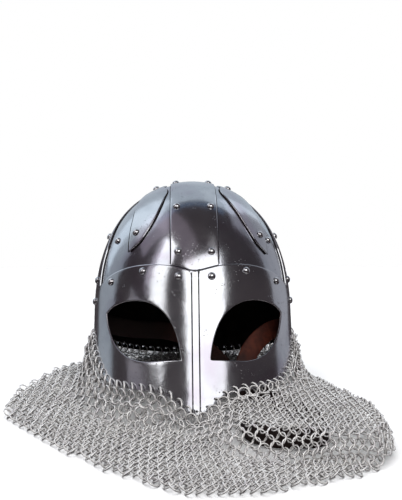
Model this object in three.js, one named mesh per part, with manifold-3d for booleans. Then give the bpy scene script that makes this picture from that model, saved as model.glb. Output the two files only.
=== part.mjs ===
import * as THREE from "three";
import Module from "manifold-3d";

// Spectacle helmet with a curtain of mail, lying back on its rim with the mail spread round it.
// Lengths are millimetres and angles degrees. Pieces of the helmet are drawn in the helmet's own
// frame: X to its left and right, -Y to the face, Z up from the row of mail holes at the rim.
// The helmet frame is then leant back and set on the surface, where Z is zero.

// Skull, the raised dome
const skullHalfWidth = 102.2;
const skullHalfLength = 116.2;
const skullHeight = 158.5;
const shoulderHeight = 20;
const skullRoundness = 2.22;
const skullWall = 1.2;
const skullRimBack = 8;
const skullRimFront = 17;

// Plates riveted over the skull
const plateWall = 1.5;
const plateGap = 0.5;
const seamGap = 0.6;
const bandHalfWidth = 22.5;
const browHeight = 38;
const browRise = 8.3;
const browRiseCentre = 36;
const browRiseSpread = 32;
const browDip = 35;

// Mask: mail hole line, eyes and nasal rib
const chinDepth = 94;
const cheekAzimuth = 54;
const sideAzimuth = 84;
const rimMargin = 5;
const holeRadius = 1.25;
const holePitch = 10.2;
const maskEndAzimuth = 97;
const eyeInner = 7.5;
const eyeOuter = 56.2;
const eyeTop = 12.5;
const eyeBottom = -47.7;
const ribHalfWidth = 3.9;
const ribHeight = 1.7;
const ribSink = 0.4;

// Rivets
const rivetRadius = 3.75;
const rivetHeight = 2.6;

// Leaning back on the surface
const leanBack = 24;
const rimClearance = 3;

// Chin strap
const strapWidth = 19;
const strapThickness = 2.5;
const strapLift = 0.4;
const anchorAzimuth = 100;
const anchorHeight = 15;

// Mail curtain
const curtainReach = 283;
const curtainThickness = 3.2;
const ridgeHeight = 20.4;
const stepRun = 11;
const rippleHeight = 2.4;
const rippleCount = 9;
const curtainTurn = 1.3;

const degrees = Math.PI / 180;
const clamp = THREE.MathUtils.clamp;
const lerp = THREE.MathUtils.lerp;
const smooth = THREE.MathUtils.smoothstep;

// Depth of the mail holes under the rim plane across the cheeks and chin, from the centre out
const chinLine = [
  { azimuth: 0, depth: 1 },
  { azimuth: 5, depth: 0.955 },
  { azimuth: 9, depth: 0.885 },
  { azimuth: 13, depth: 0.82 },
  { azimuth: 18, depth: 0.772 },
  { azimuth: 24, depth: 0.742 },
  { azimuth: 38, depth: 0.695 },
  { azimuth: 49, depth: 0.645 },
  { azimuth: 54, depth: 0.6 },
];

// Petal edges from crown to tip: height as a share of the skull's, edges in degrees from the face
const petalEdges = [
  { height: 0.958, inner: 46, outer: 60 },
  { height: 0.855, inner: 25.6, outer: 55 },
  { height: 0.752, inner: 24.8, outer: 50.7 },
  { height: 0.658, inner: 27, outer: 47.6 },
  { height: 0.581, inner: 29.3, outer: 46.2 },
  { height: 0.503, inner: 32.6, outer: 44.9 },
  { height: 0.446, inner: 36.3, outer: 44 },
  { height: 0.398, inner: 42.5, outer: 43.2 },
];
const petalTurn = 3.8;

// Ear strap: half its spread round the ear at each height, in degrees
const earStrapEdges = [
  { height: 0.976, spread: 22 },
  { height: 0.873, spread: 18.5 },
  { height: 0.789, spread: 18 },
  { height: 0.698, spread: 19.5 },
  { height: 0.614, spread: 22 },
  { height: 0.491, spread: 24 },
  { height: 0.388, spread: 23 },
];

// Curtain laid out by direction from the face: reach and step as shares, ridge as a share of its
// height, run as the share of the way out over which the mail falls from the rim
const curtainSpread = [
  { azimuth: -180, reach: 0.64, ridge: 0, step: 1, run: 0.3 },
  { azimuth: -158, reach: 0.625, ridge: 0, step: 1, run: 0.3 },
  { azimuth: -138, reach: 0.555, ridge: 0, step: 1, run: 0.3 },
  { azimuth: -121, reach: 0.477, ridge: 0.1, step: 1, run: 0.32 },
  { azimuth: -103, reach: 0.55, ridge: 0.1, step: 1, run: 0.3 },
  { azimuth: -86, reach: 0.608, ridge: 0.05, step: 1, run: 0.28 },
  { azimuth: -75, reach: 0.654, ridge: 0, step: 1, run: 0.28 },
  { azimuth: -59, reach: 0.742, ridge: 0, step: 1, run: 0.26 },
  { azimuth: -48, reach: 0.739, ridge: 0, step: 1, run: 0.24 },
  { azimuth: -38, reach: 0.753, ridge: 0, step: 1, run: 0.24 },
  { azimuth: -26, reach: 0.799, ridge: 0, step: 1, run: 0.22 },
  { azimuth: -10, reach: 0.905, ridge: 0, step: 1, run: 0.2 },
  { azimuth: -2, reach: 0.976, ridge: 0, step: 0.3, run: 0.2 },
  { azimuth: 5, reach: 1, ridge: 0.4, step: 0.34, run: 0.2 },
  { azimuth: 11, reach: 0.993, ridge: 1, step: 0.44, run: 0.3 },
  { azimuth: 17, reach: 0.981, ridge: 1.08, step: 0.51, run: 0.35 },
  { azimuth: 23, reach: 0.979, ridge: 1.1, step: 0.64, run: 0.4 },
  { azimuth: 29, reach: 0.984, ridge: 1.08, step: 0.78, run: 0.4 },
  { azimuth: 36, reach: 0.965, ridge: 1.1, step: 0.9, run: 0.4 },
  { azimuth: 42, reach: 0.906, ridge: 1.08, step: 0.9, run: 0.4 },
  { azimuth: 47, reach: 0.82, ridge: 1.02, step: 0.88, run: 0.4 },
  { azimuth: 54, reach: 0.7, ridge: 0.9, step: 0.85, run: 0.5 },
  { azimuth: 62, reach: 0.58, ridge: 0.7, step: 0.85, run: 0.45 },
  { azimuth: 74, reach: 0.512, ridge: 0.5, step: 0.85, run: 0.5 },
  { azimuth: 88, reach: 0.445, ridge: 0.4, step: 0.85, run: 0.55 },
  { azimuth: 103, reach: 0.44, ridge: 0.25, step: 0.9, run: 0.5 },
  { azimuth: 121, reach: 0.475, ridge: 0.1, step: 1, run: 0.4 },
  { azimuth: 138, reach: 0.555, ridge: 0, step: 1, run: 0.3 },
  { azimuth: 158, reach: 0.625, ridge: 0, step: 1, run: 0.3 },
  { azimuth: 180, reach: 0.64, ridge: 0, step: 1, run: 0.3 },
];

// Way of the chin strap between its two anchors, in shares of the skull's half width and half
// length and of the strap's width; up and across give the direction of the strap's width
const strapRoute = [
  { x: 0.9, y: -0.2, z: 3.5, up: 1, across: 0 },
  { x: 0.71, y: -0.35, z: 3.25, up: 0.75, across: -0.5 },
  { x: 0.57, y: -0.45, z: 2.65, up: 0.5, across: -0.85 },
  { x: 0.47, y: -0.58, z: 1.75, up: 0.5, across: -0.85 },
  { x: 0.42, y: -0.78, z: 0.85, up: 0.9, across: -0.45 },
  { x: 0.41, y: -1.02, z: 0.53, up: 1, across: 0 },
  { x: 0.4, y: -1.3, z: 0.53, up: 1, across: 0 },
  { x: 0.43, y: -1.49, z: 0.53, up: 1, across: 0 },
  { x: 0.56, y: -1.61, z: 0.53, up: 1, across: 0 },
  { x: 0.8, y: -1.66, z: 0.53, up: 1, across: 0 },
  { x: 1.02, y: -1.62, z: 0.53, up: 1, across: 0 },
  { x: 1.1, y: -1.46, z: 0.53, up: 1, across: 0 },
  { x: 1.0, y: -1.2, z: 0.53, up: 1, across: 0 },
  { x: 0.77, y: -0.85, z: 0.53, up: 1, across: 0 },
  { x: 0.52, y: -0.5, z: 0.6, up: 1, across: 0 },
  { x: 0.38, y: -0.27, z: 1.0, up: 1, across: 0.1 },
  { x: 0.22, y: -0.11, z: 1.65, up: 1, across: 0.2 },
  { x: 0.04, y: 0.02, z: 2.25, up: 1, across: 0.3 },
  { x: -0.25, y: 0.06, z: 2.8, up: 1, across: 0.2 },
  { x: -0.64, y: -0.06, z: 3.15, up: 1, across: 0.15 },
  { x: -0.91, y: -0.13, z: 3.6, up: 1, across: 0.1 },
];

// Share of the plan size left at a height above the rim plane
function planShare(height) {
  const rise = clamp((height - shoulderHeight) / (skullHeight - shoulderHeight), 0, 1);
  return (1 - rise ** skullRoundness) ** (1 / skullRoundness);
}

// Height reached after a share of the climb from the shoulder to the crown
function climbHeight(climb) {
  const rise = Math.sin((climb * Math.PI) / 2) ** (2 / skullRoundness);
  return shoulderHeight + (skullHeight - shoulderHeight) * Math.min(rise, 1);
}

function heightClimb(height) {
  const rise = clamp((height - shoulderHeight) / (skullHeight - shoulderHeight), 0, 1);
  return (Math.asin(rise ** (skullRoundness / 2)) * 2) / Math.PI;
}

function skullNormal(x, y, z) {
  const span = skullHeight - shoulderHeight;
  const rise = clamp((z - shoulderHeight) / span, 0, 0.99999);
  const left = 1 - rise ** skullRoundness;
  const slope = (left ** (2 / skullRoundness - 1) * rise ** (skullRoundness - 1)) / span;
  return new THREE.Vector3(x / skullHalfWidth ** 2, y / skullHalfLength ** 2, slope).normalize();
}

// Point on the skull's outer face with its normal, by direction from the face and by height
function skullAt(azimuth, height) {
  const share = planShare(height);
  const x = skullHalfWidth * share * Math.sin(azimuth * degrees);
  const y = -skullHalfLength * share * Math.cos(azimuth * degrees);
  return { point: new THREE.Vector3(x, y, height), normal: skullNormal(x, y, height) };
}

// The same by distance from the middle plane and by the angle over the crown, zero at the top
function skullOver(x, angle) {
  let near = 0;
  let far = 2 * skullHeight;
  for (let step = 0; step < 48; step += 1) {
    const middle = (near + far) / 2;
    const y = -middle * Math.sin(angle);
    const z = shoulderHeight + middle * Math.cos(angle);
    const inside = z < skullHeight
      && (x / skullHalfWidth) ** 2 + (y / skullHalfLength) ** 2 < planShare(z) ** 2;
    if (inside) near = middle;
    else far = middle;
  }
  const y = -near * Math.sin(angle);
  const z = shoulderHeight + near * Math.cos(angle);
  return { point: new THREE.Vector3(x, y, z), normal: skullNormal(x, y, z) };
}

function lifted(sample, lift) {
  return sample.point.clone().addScaledVector(sample.normal, lift);
}

// Value of a table's column at a place between its rows
function readTable(rows, key, place, column) {
  const last = rows.length - 1;
  const rising = rows[last][key] > rows[0][key] ? 1 : -1;
  let row = 0;
  while (row < last - 1 && (place - rows[row + 1][key]) * rising > 0) row += 1;
  const span = rows[row + 1][key] - rows[row][key];
  const share = clamp((place - rows[row][key]) / span, 0, 1);
  return lerp(rows[row][column], rows[row + 1][column], share);
}

// Joins equal corners, drops empty triangles and turns the faces outwards
function closedGeometry(points, triangles) {
  const keys = new Map();
  const kept = [];
  const index = points.map((point) => {
    const key = [point.x, point.y, point.z].map((value) => Math.round(value * 2000)).join(" ");
    if (!keys.has(key)) {
      keys.set(key, kept.length);
      kept.push(point);
    }
    return keys.get(key);
  });
  const faces = [];
  let volume = 0;
  for (const triangle of triangles) {
    const [a, b, c] = triangle.map((corner) => index[corner]);
    if (a === b || b === c || a === c) continue;
    faces.push([a, b, c]);
    volume += kept[a].dot(new THREE.Vector3().crossVectors(kept[b], kept[c]));
  }
  if (volume < 0) faces.forEach((face) => face.reverse());
  const geometry = new THREE.BufferGeometry();
  const positions = kept.flatMap((point) => [point.x, point.y, point.z]);
  geometry.setAttribute("position", new THREE.Float32BufferAttribute(positions, 3));
  geometry.setIndex(faces.flat());
  return geometry;
}

// Closed sheet between two faces, each given at every row and column of a grid
function sheetGeometry(rows, columns, faceAt, ring = false) {
  const points = [];
  const triangles = [];
  const acrossCount = ring ? columns : columns + 1;
  for (const side of [0, 1]) {
    for (let row = 0; row <= rows; row += 1) {
      for (let column = 0; column < acrossCount; column += 1) {
        points.push(faceAt(row / rows, column / columns)[side]);
      }
    }
  }
  const at = (side, row, column) =>
    (side * (rows + 1) + row) * acrossCount + (column % acrossCount);
  const quad = (a, b, c, d) => triangles.push([a, b, c], [a, c, d]);
  for (let row = 0; row < rows; row += 1) {
    for (let column = 0; column < columns; column += 1) {
      quad(at(0, row, column), at(0, row, column + 1), at(0, row + 1, column + 1), at(0, row + 1, column));
      quad(at(1, row, column), at(1, row + 1, column), at(1, row + 1, column + 1), at(1, row, column + 1));
    }
  }
  for (let column = 0; column < columns; column += 1) {
    quad(at(0, 0, column), at(1, 0, column), at(1, 0, column + 1), at(0, 0, column + 1));
    quad(at(0, rows, column), at(0, rows, column + 1), at(1, rows, column + 1), at(1, rows, column));
  }
  if (!ring) {
    for (let row = 0; row < rows; row += 1) {
      quad(at(0, row, 0), at(0, row + 1, 0), at(1, row + 1, 0), at(1, row, 0));
      quad(at(0, row, columns), at(1, row, columns), at(1, row + 1, columns), at(0, row + 1, columns));
    }
  }
  return closedGeometry(points, triangles);
}

// Plate that follows the skull between two lifts over it
function plateGeometry(rows, columns, sampleAt, low, high, ring = false) {
  const faceAt = (along, across) => {
    const sample = sampleAt(along, across);
    return [lifted(sample, high), lifted(sample, low)];
  };
  return sheetGeometry(rows, columns, faceAt, ring);
}

// Solids for joining and cutting
const wasm = await Module();
wasm.setup();

function toSolid(geometry) {
  const vertProperties = new Float32Array(geometry.attributes.position.array);
  const triVerts = new Uint32Array(geometry.index.array);
  return new wasm.Manifold(new wasm.Mesh({ numProp: 3, vertProperties, triVerts }));
}

function toGeometry(solid) {
  const mesh = solid.getMesh();
  const geometry = new THREE.BufferGeometry();
  const positions = new Float32Array(mesh.vertProperties);
  geometry.setAttribute("position", new THREE.BufferAttribute(positions, mesh.numProp));
  geometry.setIndex(new THREE.BufferAttribute(new Uint32Array(mesh.triVerts), 1));
  return geometry;
}

// Edges of the plates
function browTop(azimuth) {
  const away = Math.abs(azimuth);
  const x = skullHalfWidth * Math.sin(away * degrees);
  const arched = (angle) => {
    const offset = clamp((angle - browRiseCentre) / browRiseSpread, -1, 1);
    return browHeight + browRise * (1 - offset ** 2);
  };
  if (x >= bandHalfWidth || away > 90) return arched(away);
  const bandAzimuth = Math.asin(bandHalfWidth / skullHalfWidth) / degrees;
  return lerp(browDip, arched(bandAzimuth), x / bandHalfWidth);
}

function holeHeight(azimuth) {
  const away = Math.abs(azimuth);
  if (away >= sideAzimuth) return 0;
  if (away <= cheekAzimuth) return -chinDepth * readTable(chinLine, "azimuth", away, "depth");
  const forward = Math.cos(away * degrees) - Math.cos(sideAzimuth * degrees);
  const whole = Math.cos(cheekAzimuth * degrees) - Math.cos(sideAzimuth * degrees);
  return (-chinDepth * chinLine[chinLine.length - 1].depth * forward) / whole;
}

function skullRim(azimuth) {
  return lerp(skullRimFront, skullRimBack, smooth(Math.abs(azimuth), 62, 84));
}

// Mail holes, an even pitch apart along the hole line, one at the middle of the chin
function holeAzimuths() {
  const samples = 1440;
  const lengths = [0];
  let previous = skullAt(0, holeHeight(0)).point;
  for (let step = 1; step <= samples; step += 1) {
    const azimuth = (180 * step) / samples;
    const point = skullAt(azimuth, holeHeight(azimuth)).point;
    lengths.push(lengths[step - 1] + point.distanceTo(previous));
    previous = point;
  }
  const halfCount = Math.round(lengths[samples] / holePitch);
  const pitch = lengths[samples] / halfCount;
  const azimuths = [];
  for (let hole = 0; hole <= halfCount; hole += 1) {
    let step = 0;
    while (step < samples && lengths[step] < hole * pitch) step += 1;
    azimuths.push((180 * step) / samples);
  }
  return azimuths;
}

const halfHoles = holeAzimuths();
const seamHole = halfHoles.findIndex((azimuth) => azimuth > maskEndAzimuth);
const seamAzimuth = (halfHoles[seamHole - 1] + halfHoles[seamHole]) / 2;
const plateLow = plateGap;
const plateHigh = plateGap + plateWall;

function drillHoles(solid, azimuths) {
  let drilled = solid;
  for (const azimuth of azimuths) {
    const sample = skullAt(azimuth, holeHeight(azimuth));
    const bit = new THREE.CylinderGeometry(holeRadius, holeRadius, 6 * plateWall, 6);
    bit.applyQuaternion(
      new THREE.Quaternion().setFromUnitVectors(new THREE.Vector3(0, 1, 0), sample.normal),
    );
    const centre = lifted(sample, plateHigh);
    bit.translate(centre.x, centre.y, centre.z);
    const corners = [];
    for (let corner = 0; corner < bit.attributes.position.count; corner += 1) {
      corners.push(new THREE.Vector3().fromBufferAttribute(bit.attributes.position, corner));
    }
    const faces = [];
    for (let face = 0; face < bit.index.count; face += 3) {
      faces.push([bit.index.getX(face), bit.index.getX(face + 1), bit.index.getX(face + 2)]);
    }
    drilled = drilled.subtract(toSolid(closedGeometry(corners, faces)));
  }
  return drilled;
}

// Eye opening, drawn in shares across and up, then cut through the mask towards the skull's axis
function eyeCutter(side) {
  const outline = new THREE.Shape();
  outline.moveTo(0, 0);
  outline.bezierCurveTo(0.041, 0.592, 0.195, 1, 0.661, 1);
  outline.quadraticCurveTo(0.862, 1, 1, 0.89);
  outline.bezierCurveTo(0.934, 0.46, 0.708, 0.028, 0.339, 0);
  const shares = outline.getPoints(6);
  const turning = (a, b, c) => THREE.ShapeUtils.area([shares[a], shares[b], shares[c]]);
  const winding = THREE.ShapeUtils.area(shares);
  const caps = THREE.ShapeUtils.triangulateShape(shares, [])
    .map(([a, b, c]) => (turning(a, b, c) * winding > 0 ? [a, b, c] : [a, c, b]));
  const points = [];
  for (const reach of [0.5, 1.5]) {
    for (const share of shares) {
      const azimuth = side * lerp(eyeInner, eyeOuter, share.x);
      const sample = skullAt(azimuth, lerp(eyeBottom, eyeTop, share.y));
      points.push(new THREE.Vector3(sample.point.x * reach, sample.point.y * reach, sample.point.z));
    }
  }
  const count = shares.length;
  const triangles = [];
  for (const [a, b, c] of caps) {
    triangles.push([a, b, c], [count + c, count + b, count + a]);
  }
  for (let edge = 0; edge < count; edge += 1) {
    const next = (edge + 1) % count;
    triangles.push([edge, count + edge, count + next], [edge, count + next, next]);
  }
  return toSolid(closedGeometry(points, triangles));
}

// Raised rib down the middle of the mask, from the dip in the brow to the chin
function ribGeometry() {
  const section = [
    { across: -1, rise: -ribSink },
    { across: -0.62, rise: ribHeight },
    { across: 0.62, rise: ribHeight },
    { across: 1, rise: -ribSink },
  ];
  const top = browDip - 1.5;
  const bottom = -0.94 * chinDepth;
  const faceAt = (along, across) => {
    const step = section[Math.round(across * (section.length - 1))];
    const azimuth = Math.asin((step.across * ribHalfWidth) / skullHalfWidth) / degrees;
    const lowering = 2 * Math.abs(step.across);
    const sample = skullAt(azimuth, lerp(bottom, top, along) - lowering * (1 - along));
    return [lifted(sample, plateHigh + step.rise), lifted(sample, plateHigh - 2 * ribSink)];
  };
  return sheetGeometry(4, section.length - 1, faceAt);
}

function maskGeometry() {
  const heights = (azimuth) => {
    const top = browTop(azimuth);
    const bottom = holeHeight(azimuth) - rimMargin;
    return [bottom, shoulderHeight, lerp(shoulderHeight, top, 0.55), top];
  };
  const sampleAt = (along, across) => {
    const azimuth = lerp(-seamAzimuth, seamAzimuth, across);
    return skullAt(azimuth, heights(azimuth)[Math.round(along * 3)]);
  };
  let solid = toSolid(plateGeometry(3, 56, sampleAt, plateLow, plateHigh));
  solid = solid.add(toSolid(ribGeometry()));
  solid = solid.subtract(eyeCutter(-1)).subtract(eyeCutter(1));
  const front = halfHoles.slice(0, seamHole);
  return toGeometry(drillHoles(solid, [...front, ...front.slice(1).map((azimuth) => -azimuth)]));
}

function napeGeometry() {
  const start = seamAzimuth + (seamGap / skullHalfWidth) / degrees;
  const sampleAt = (along, across) => {
    const azimuth = lerp(start, 360 - start, across);
    return skullAt(azimuth, [-rimMargin, shoulderHeight, browHeight][Math.round(along * 2)]);
  };
  const solid = toSolid(plateGeometry(2, 38, sampleAt, plateLow, plateHigh));
  const back = halfHoles.slice(seamHole);
  const mirrored = back.slice(0, -1).map((azimuth) => -azimuth);
  return toGeometry(drillHoles(solid, [...back, ...mirrored]));
}

function skullGeometry() {
  const rows = 8;
  const sampleAt = (along, across) => {
    const azimuth = lerp(-180, 180, across);
    const row = Math.round(along * rows);
    const height = row === 0 ? skullRim(azimuth) : climbHeight((row - 1) / (rows - 1));
    return skullAt(azimuth, height);
  };
  return plateGeometry(rows, 50, sampleAt, -skullWall, 0, true);
}

function centreBandGeometry() {
  const angleAt = (x, height) => {
    const share = Math.sqrt(planShare(height) ** 2 - (x / skullHalfWidth) ** 2);
    return Math.atan2(skullHalfLength * share, height - shoulderHeight);
  };
  const sampleAt = (along, across) => {
    const x = lerp(-bandHalfWidth, bandHalfWidth, across);
    const azimuth = Math.asin(Math.abs(x) / skullHalfWidth) / degrees;
    const front = angleAt(x, browTop(Math.min(azimuth, 89)) + seamGap);
    const back = -angleAt(x, browHeight + seamGap);
    return skullOver(x, lerp(front, back, along));
  };
  return plateGeometry(30, 5, sampleAt, plateLow, plateHigh);
}

// Pointed petal: side is -1 or 1 across, ahead is 1 at the front and -1 at the back
function petalGeometry(side, ahead) {
  const edge = (column) =>
    new THREE.SplineCurve(petalEdges.map((row) => new THREE.Vector2(row[column], row.height)));
  const inner = edge("inner");
  const outer = edge("outer");
  const sampleAt = (along, across) => {
    const place = inner.getPoint(along).lerp(outer.getPoint(along), across);
    const away = place.x + petalTurn * side * smooth(1 - place.y, 0.05, 0.4);
    return skullAt(side * (ahead > 0 ? away : 180 - away), place.y * skullHeight);
  };
  return plateGeometry(12, 3, sampleAt, plateLow, plateHigh);
}

function earStrapGeometry(side) {
  const top = heightClimb(earStrapEdges[0].height * skullHeight);
  const sampleAt = (along, across) => {
    const level = climbHeight(lerp(top, heightClimb(browHeight), along)) / skullHeight;
    const spread = readTable(earStrapEdges, "height", level, "spread");
    const azimuth = lerp(90 - spread, 90 + spread, across);
    const foot = azimuth < 90 ? browTop(azimuth) : browHeight;
    const height = climbHeight(lerp(top, heightClimb(foot + seamGap), along));
    return skullAt(side * azimuth, height);
  };
  return plateGeometry(11, 6, sampleAt, plateLow, plateHigh);
}

// Rivet head, flat underneath, standing a small gap off the face that it holds
function rivetGeometry(sample, lift) {
  const profile = [
    new THREE.Vector2(0, 0),
    new THREE.Vector2(rivetRadius, 0),
    new THREE.Vector2(0.8 * rivetRadius, 0.62 * rivetHeight),
    new THREE.Vector2(0, rivetHeight),
  ];
  const sides = 7;
  const turn = new THREE.Quaternion().setFromUnitVectors(new THREE.Vector3(0, 0, 1), sample.normal);
  const centre = lifted(sample, lift + plateGap);
  const points = [];
  for (const ring of profile) {
    for (let corner = 0; corner < sides; corner += 1) {
      const angle = (corner / sides) * 2 * Math.PI;
      const point = new THREE.Vector3(ring.x * Math.cos(angle), ring.x * Math.sin(angle), ring.y);
      points.push(point.applyQuaternion(turn).add(centre));
    }
  }
  const triangles = [];
  for (let ring = 0; ring < profile.length - 1; ring += 1) {
    for (let corner = 0; corner < sides; corner += 1) {
      const next = (corner + 1) % sides;
      const [a, b] = [ring * sides + corner, ring * sides + next];
      triangles.push([a, b, b + sides], [a, b + sides, a + sides]);
    }
  }
  return closedGeometry(points, triangles);
}

// Rivet places: distance from the middle plane and height on the centre band
const bandRivets = [
  { x: 17, height: 0.966 },
  { x: 16.5, height: 0.672 },
  { x: 15.5, height: 0.35 },
];
const petalRivets = [
  { azimuth: 51, height: 0.922 },
  { azimuth: 40.3, height: 0.521 },
];
const earRivets = [
  { spread: 16, height: 0.303 },
  { spread: 15.5, height: 0.607 },
];
const maskRivets = [
  { azimuth: 8.6, height: 0.81 },
  { azimuth: 28.4, height: 1.03 },
  { azimuth: 52, height: 0.96 },
  { azimuth: 76, height: 0.7 },
];
const napeRivets = [
  { azimuth: 104, height: 0.7 },
  { azimuth: 128, height: 0.84 },
  { azimuth: 153, height: 0.84 },
];
const plateRivet = { azimuth: 54.3, height: 0.516 };

function placeRivets() {
  const heads = [];
  const put = (name, sample, lift) => heads.push({ name, geometry: rivetGeometry(sample, lift) });
  for (const [sideName, side] of [["right", -1], ["left", 1]]) {
    for (const [end, ahead] of [["front", 1], ["back", -1]]) {
      bandRivets.forEach((row, number) => {
        const height = row.height * skullHeight;
        const share = Math.sqrt(planShare(height) ** 2 - (row.x / skullHalfWidth) ** 2);
        const angle = Math.atan2(skullHalfLength * share, height - shoulderHeight);
        put(`rivet_band_${end}_${sideName}_${number + 1}`, skullOver(side * row.x, ahead * angle), plateHigh);
      });
      petalRivets.forEach((row, number) => {
        const away = row.azimuth + petalTurn * side * smooth(1 - row.height, 0.05, 0.4);
        const azimuth = side * (ahead > 0 ? away : 180 - away);
        const sample = skullAt(azimuth, row.height * skullHeight);
        put(`rivet_petal_${end}_${sideName}_${number + 1}`, sample, plateHigh);
      });
      earRivets.forEach((row, number) => {
        const sample = skullAt(side * (90 - ahead * row.spread), row.height * skullHeight);
        put(`rivet_ear_${end}_${sideName}_${number + 1}`, sample, plateHigh);
      });
    }
    maskRivets.forEach((row, number) => {
      const sample = skullAt(side * row.azimuth, row.height * browHeight);
      put(`rivet_mask_${sideName}_${number + 1}`, sample, plateHigh);
    });
    napeRivets.forEach((row, number) => {
      const sample = skullAt(side * row.azimuth, row.height * browHeight);
      put(`rivet_nape_${sideName}_${number + 1}`, sample, plateHigh);
    });
    const between = skullAt(side * plateRivet.azimuth, plateRivet.height * skullHeight);
    put(`rivet_skull_${sideName}`, between, 0);
  }
  return heads;
}

// The helmet's frame leant back, its lowest rim point a small clearance over the surface
const leaning = new THREE.Matrix4().makeRotationX(-leanBack * degrees);
const napeEdge = lifted(skullAt(180, -rimMargin), plateHigh).applyMatrix4(leaning);
leaning.setPosition(0, 0, rimClearance - napeEdge.z);

function onSurface(point) {
  return point.clone().applyMatrix4(leaning);
}

// Mail curtain: from the hole line it falls to the surface, over the ridge the strap makes
function curtainPoint(azimuth, out) {
  const sample = skullAt(azimuth, holeHeight(azimuth));
  const start = onSurface(lifted(sample, plateHigh + plateGap + 0.55 * curtainThickness));
  const facing = Math.atan2(start.x, -start.y) / degrees;
  const turned = facing + curtainTurn;
  const direction = turned > 180 ? turned - 360 : turned;
  const read = (column) => readTable(curtainSpread, "azimuth", direction, column);
  const near = Math.hypot(start.x, start.y);
  const reach = read("reach") * curtainReach;
  const way = reach - near;
  const share = out ** 1.25;
  const radius = near + way * share;
  const stepStart = Math.min(read("step") * way, way - stepRun) / way;
  const onRidge = 1 - smooth(share, stepStart, stepStart + stepRun / way);
  const ripple = Math.max(0, Math.cos(rippleCount * facing * degrees + 0.6));
  const swell = rippleHeight * ripple * Math.sin(Math.PI * share) ** 2;
  const lying = curtainThickness / 2 + read("ridge") * ridgeHeight * onRidge;
  const resting = lying + (share > 0.5 ? swell * smooth(0.95 - share, 0, 0.35) : swell);
  const fall = Math.max(0, 1 - share / read("run")) ** 2;
  const height = resting + Math.max(0, start.z - resting) * fall;
  return new THREE.Vector3(radius * Math.sin(facing * degrees), -radius * Math.cos(facing * degrees), height);
}

function curtainGeometry() {
  const rows = 10;
  const columns = 52;
  const point = (row, column) => curtainPoint(-180 + (360 * column) / columns, row / rows);
  const faceAt = (along, across) => {
    const row = Math.round(along * rows);
    const column = Math.round(across * columns);
    const out = new THREE.Vector3().subVectors(
      point(Math.min(row + 1, rows), column), point(Math.max(row - 1, 0), column));
    const round = new THREE.Vector3().subVectors(point(row, column + 1), point(row, column - 1));
    const normal = new THREE.Vector3().crossVectors(out, round).normalize();
    if (normal.z < 0) normal.negate();
    const middle = point(row, column);
    const top = middle.clone().addScaledVector(normal, curtainThickness / 2);
    const under = middle.clone().addScaledVector(normal, -curtainThickness / 2);
    top.z = Math.max(top.z, curtainThickness);
    under.z = Math.max(under.z, 0);
    return [top, under];
  };
  return sheetGeometry(rows, columns, faceAt, true);
}

// Chin strap: a leather ribbon along its route, from one temple to the other
function strapGeometry() {
  const inside = -skullWall - 2 * plateGap - strapThickness / 2;
  const anchor = (side, azimuth) =>
    onSurface(lifted(skullAt(side * azimuth, anchorHeight), inside));
  const lead = anchorAzimuth - 9;
  const stations = [
    { point: anchor(1, anchorAzimuth), up: 1, across: 0 },
    { point: anchor(1, lead), up: 1, across: 0 },
    ...strapRoute.map((row) => ({
      point: new THREE.Vector3(
        row.x * skullHalfWidth, row.y * skullHalfLength, row.z * strapWidth + strapLift),
      up: row.up,
      across: row.across,
    })),
    { point: anchor(-1, lead), up: 1, across: 0 },
    { point: anchor(-1, anchorAzimuth), up: 1, across: 0 },
  ];
  const way = new THREE.CatmullRomCurve3(stations.map((station) => station.point));
  const steps = 60;
  const corners = [[-1, -1], [1, -1], [1, 1], [-1, 1]];
  const points = [];
  const triangles = [];
  for (let step = 0; step <= steps; step += 1) {
    const share = step / steps;
    const place = share * (stations.length - 1);
    const row = Math.min(Math.floor(place), stations.length - 2);
    const tangent = way.getTangent(share);
    const up = lerp(stations[row].up, stations[row + 1].up, place - row);
    const across = lerp(stations[row].across, stations[row + 1].across, place - row);
    const width = new THREE.Vector3(across, 0, up);
    width.addScaledVector(tangent, -width.dot(tangent)).normalize();
    const thick = new THREE.Vector3().crossVectors(tangent, width);
    for (const [side, face] of corners) {
      points.push(way.getPoint(share)
        .addScaledVector(width, (side * strapWidth) / 2)
        .addScaledVector(thick, (face * strapThickness) / 2));
    }
  }
  for (let step = 0; step < steps; step += 1) {
    for (let corner = 0; corner < 4; corner += 1) {
      const next = (corner + 1) % 4;
      const [a, b] = [4 * step + corner, 4 * step + next];
      triangles.push([a, b, b + 4], [a, b + 4, a + 4]);
    }
  }
  const end = 4 * steps;
  triangles.push([0, 2, 1], [0, 3, 2], [end, end + 1, end + 2], [end, end + 2, end + 3]);
  return closedGeometry(points, triangles);
}

// Finishes
const polished = { color: 0xb9bcc4, roughness: 0.16, metalness: 1 };
const brightSteel = { color: 0xcfd1d6, roughness: 0.14, metalness: 1 };
const mailSteel = { color: 0xb2afad, roughness: 0.32, metalness: 1 };
const leather = { color: 0x6a2d1c, roughness: 0.6, metalness: 0 };

function piece(name, geometry, finish) {
  const mesh = new THREE.Mesh(geometry, new THREE.MeshStandardMaterial(finish));
  mesh.name = name;
  return mesh;
}

const helmet = new THREE.Group();
helmet.add(piece("skull", skullGeometry(), polished));
helmet.add(piece("face_mask", maskGeometry(), polished));
helmet.add(piece("nape_band", napeGeometry(), polished));
helmet.add(piece("centre_band", centreBandGeometry(), polished));
for (const [sideName, side] of [["right", -1], ["left", 1]]) {
  helmet.add(piece(`petal_front_${sideName}`, petalGeometry(side, 1), polished));
  helmet.add(piece(`petal_back_${sideName}`, petalGeometry(side, -1), polished));
  helmet.add(piece(`ear_strap_${sideName}`, earStrapGeometry(side), polished));
}
for (const head of placeRivets()) helmet.add(piece(head.name, head.geometry, brightSteel));
helmet.applyMatrix4(leaning);

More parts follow.
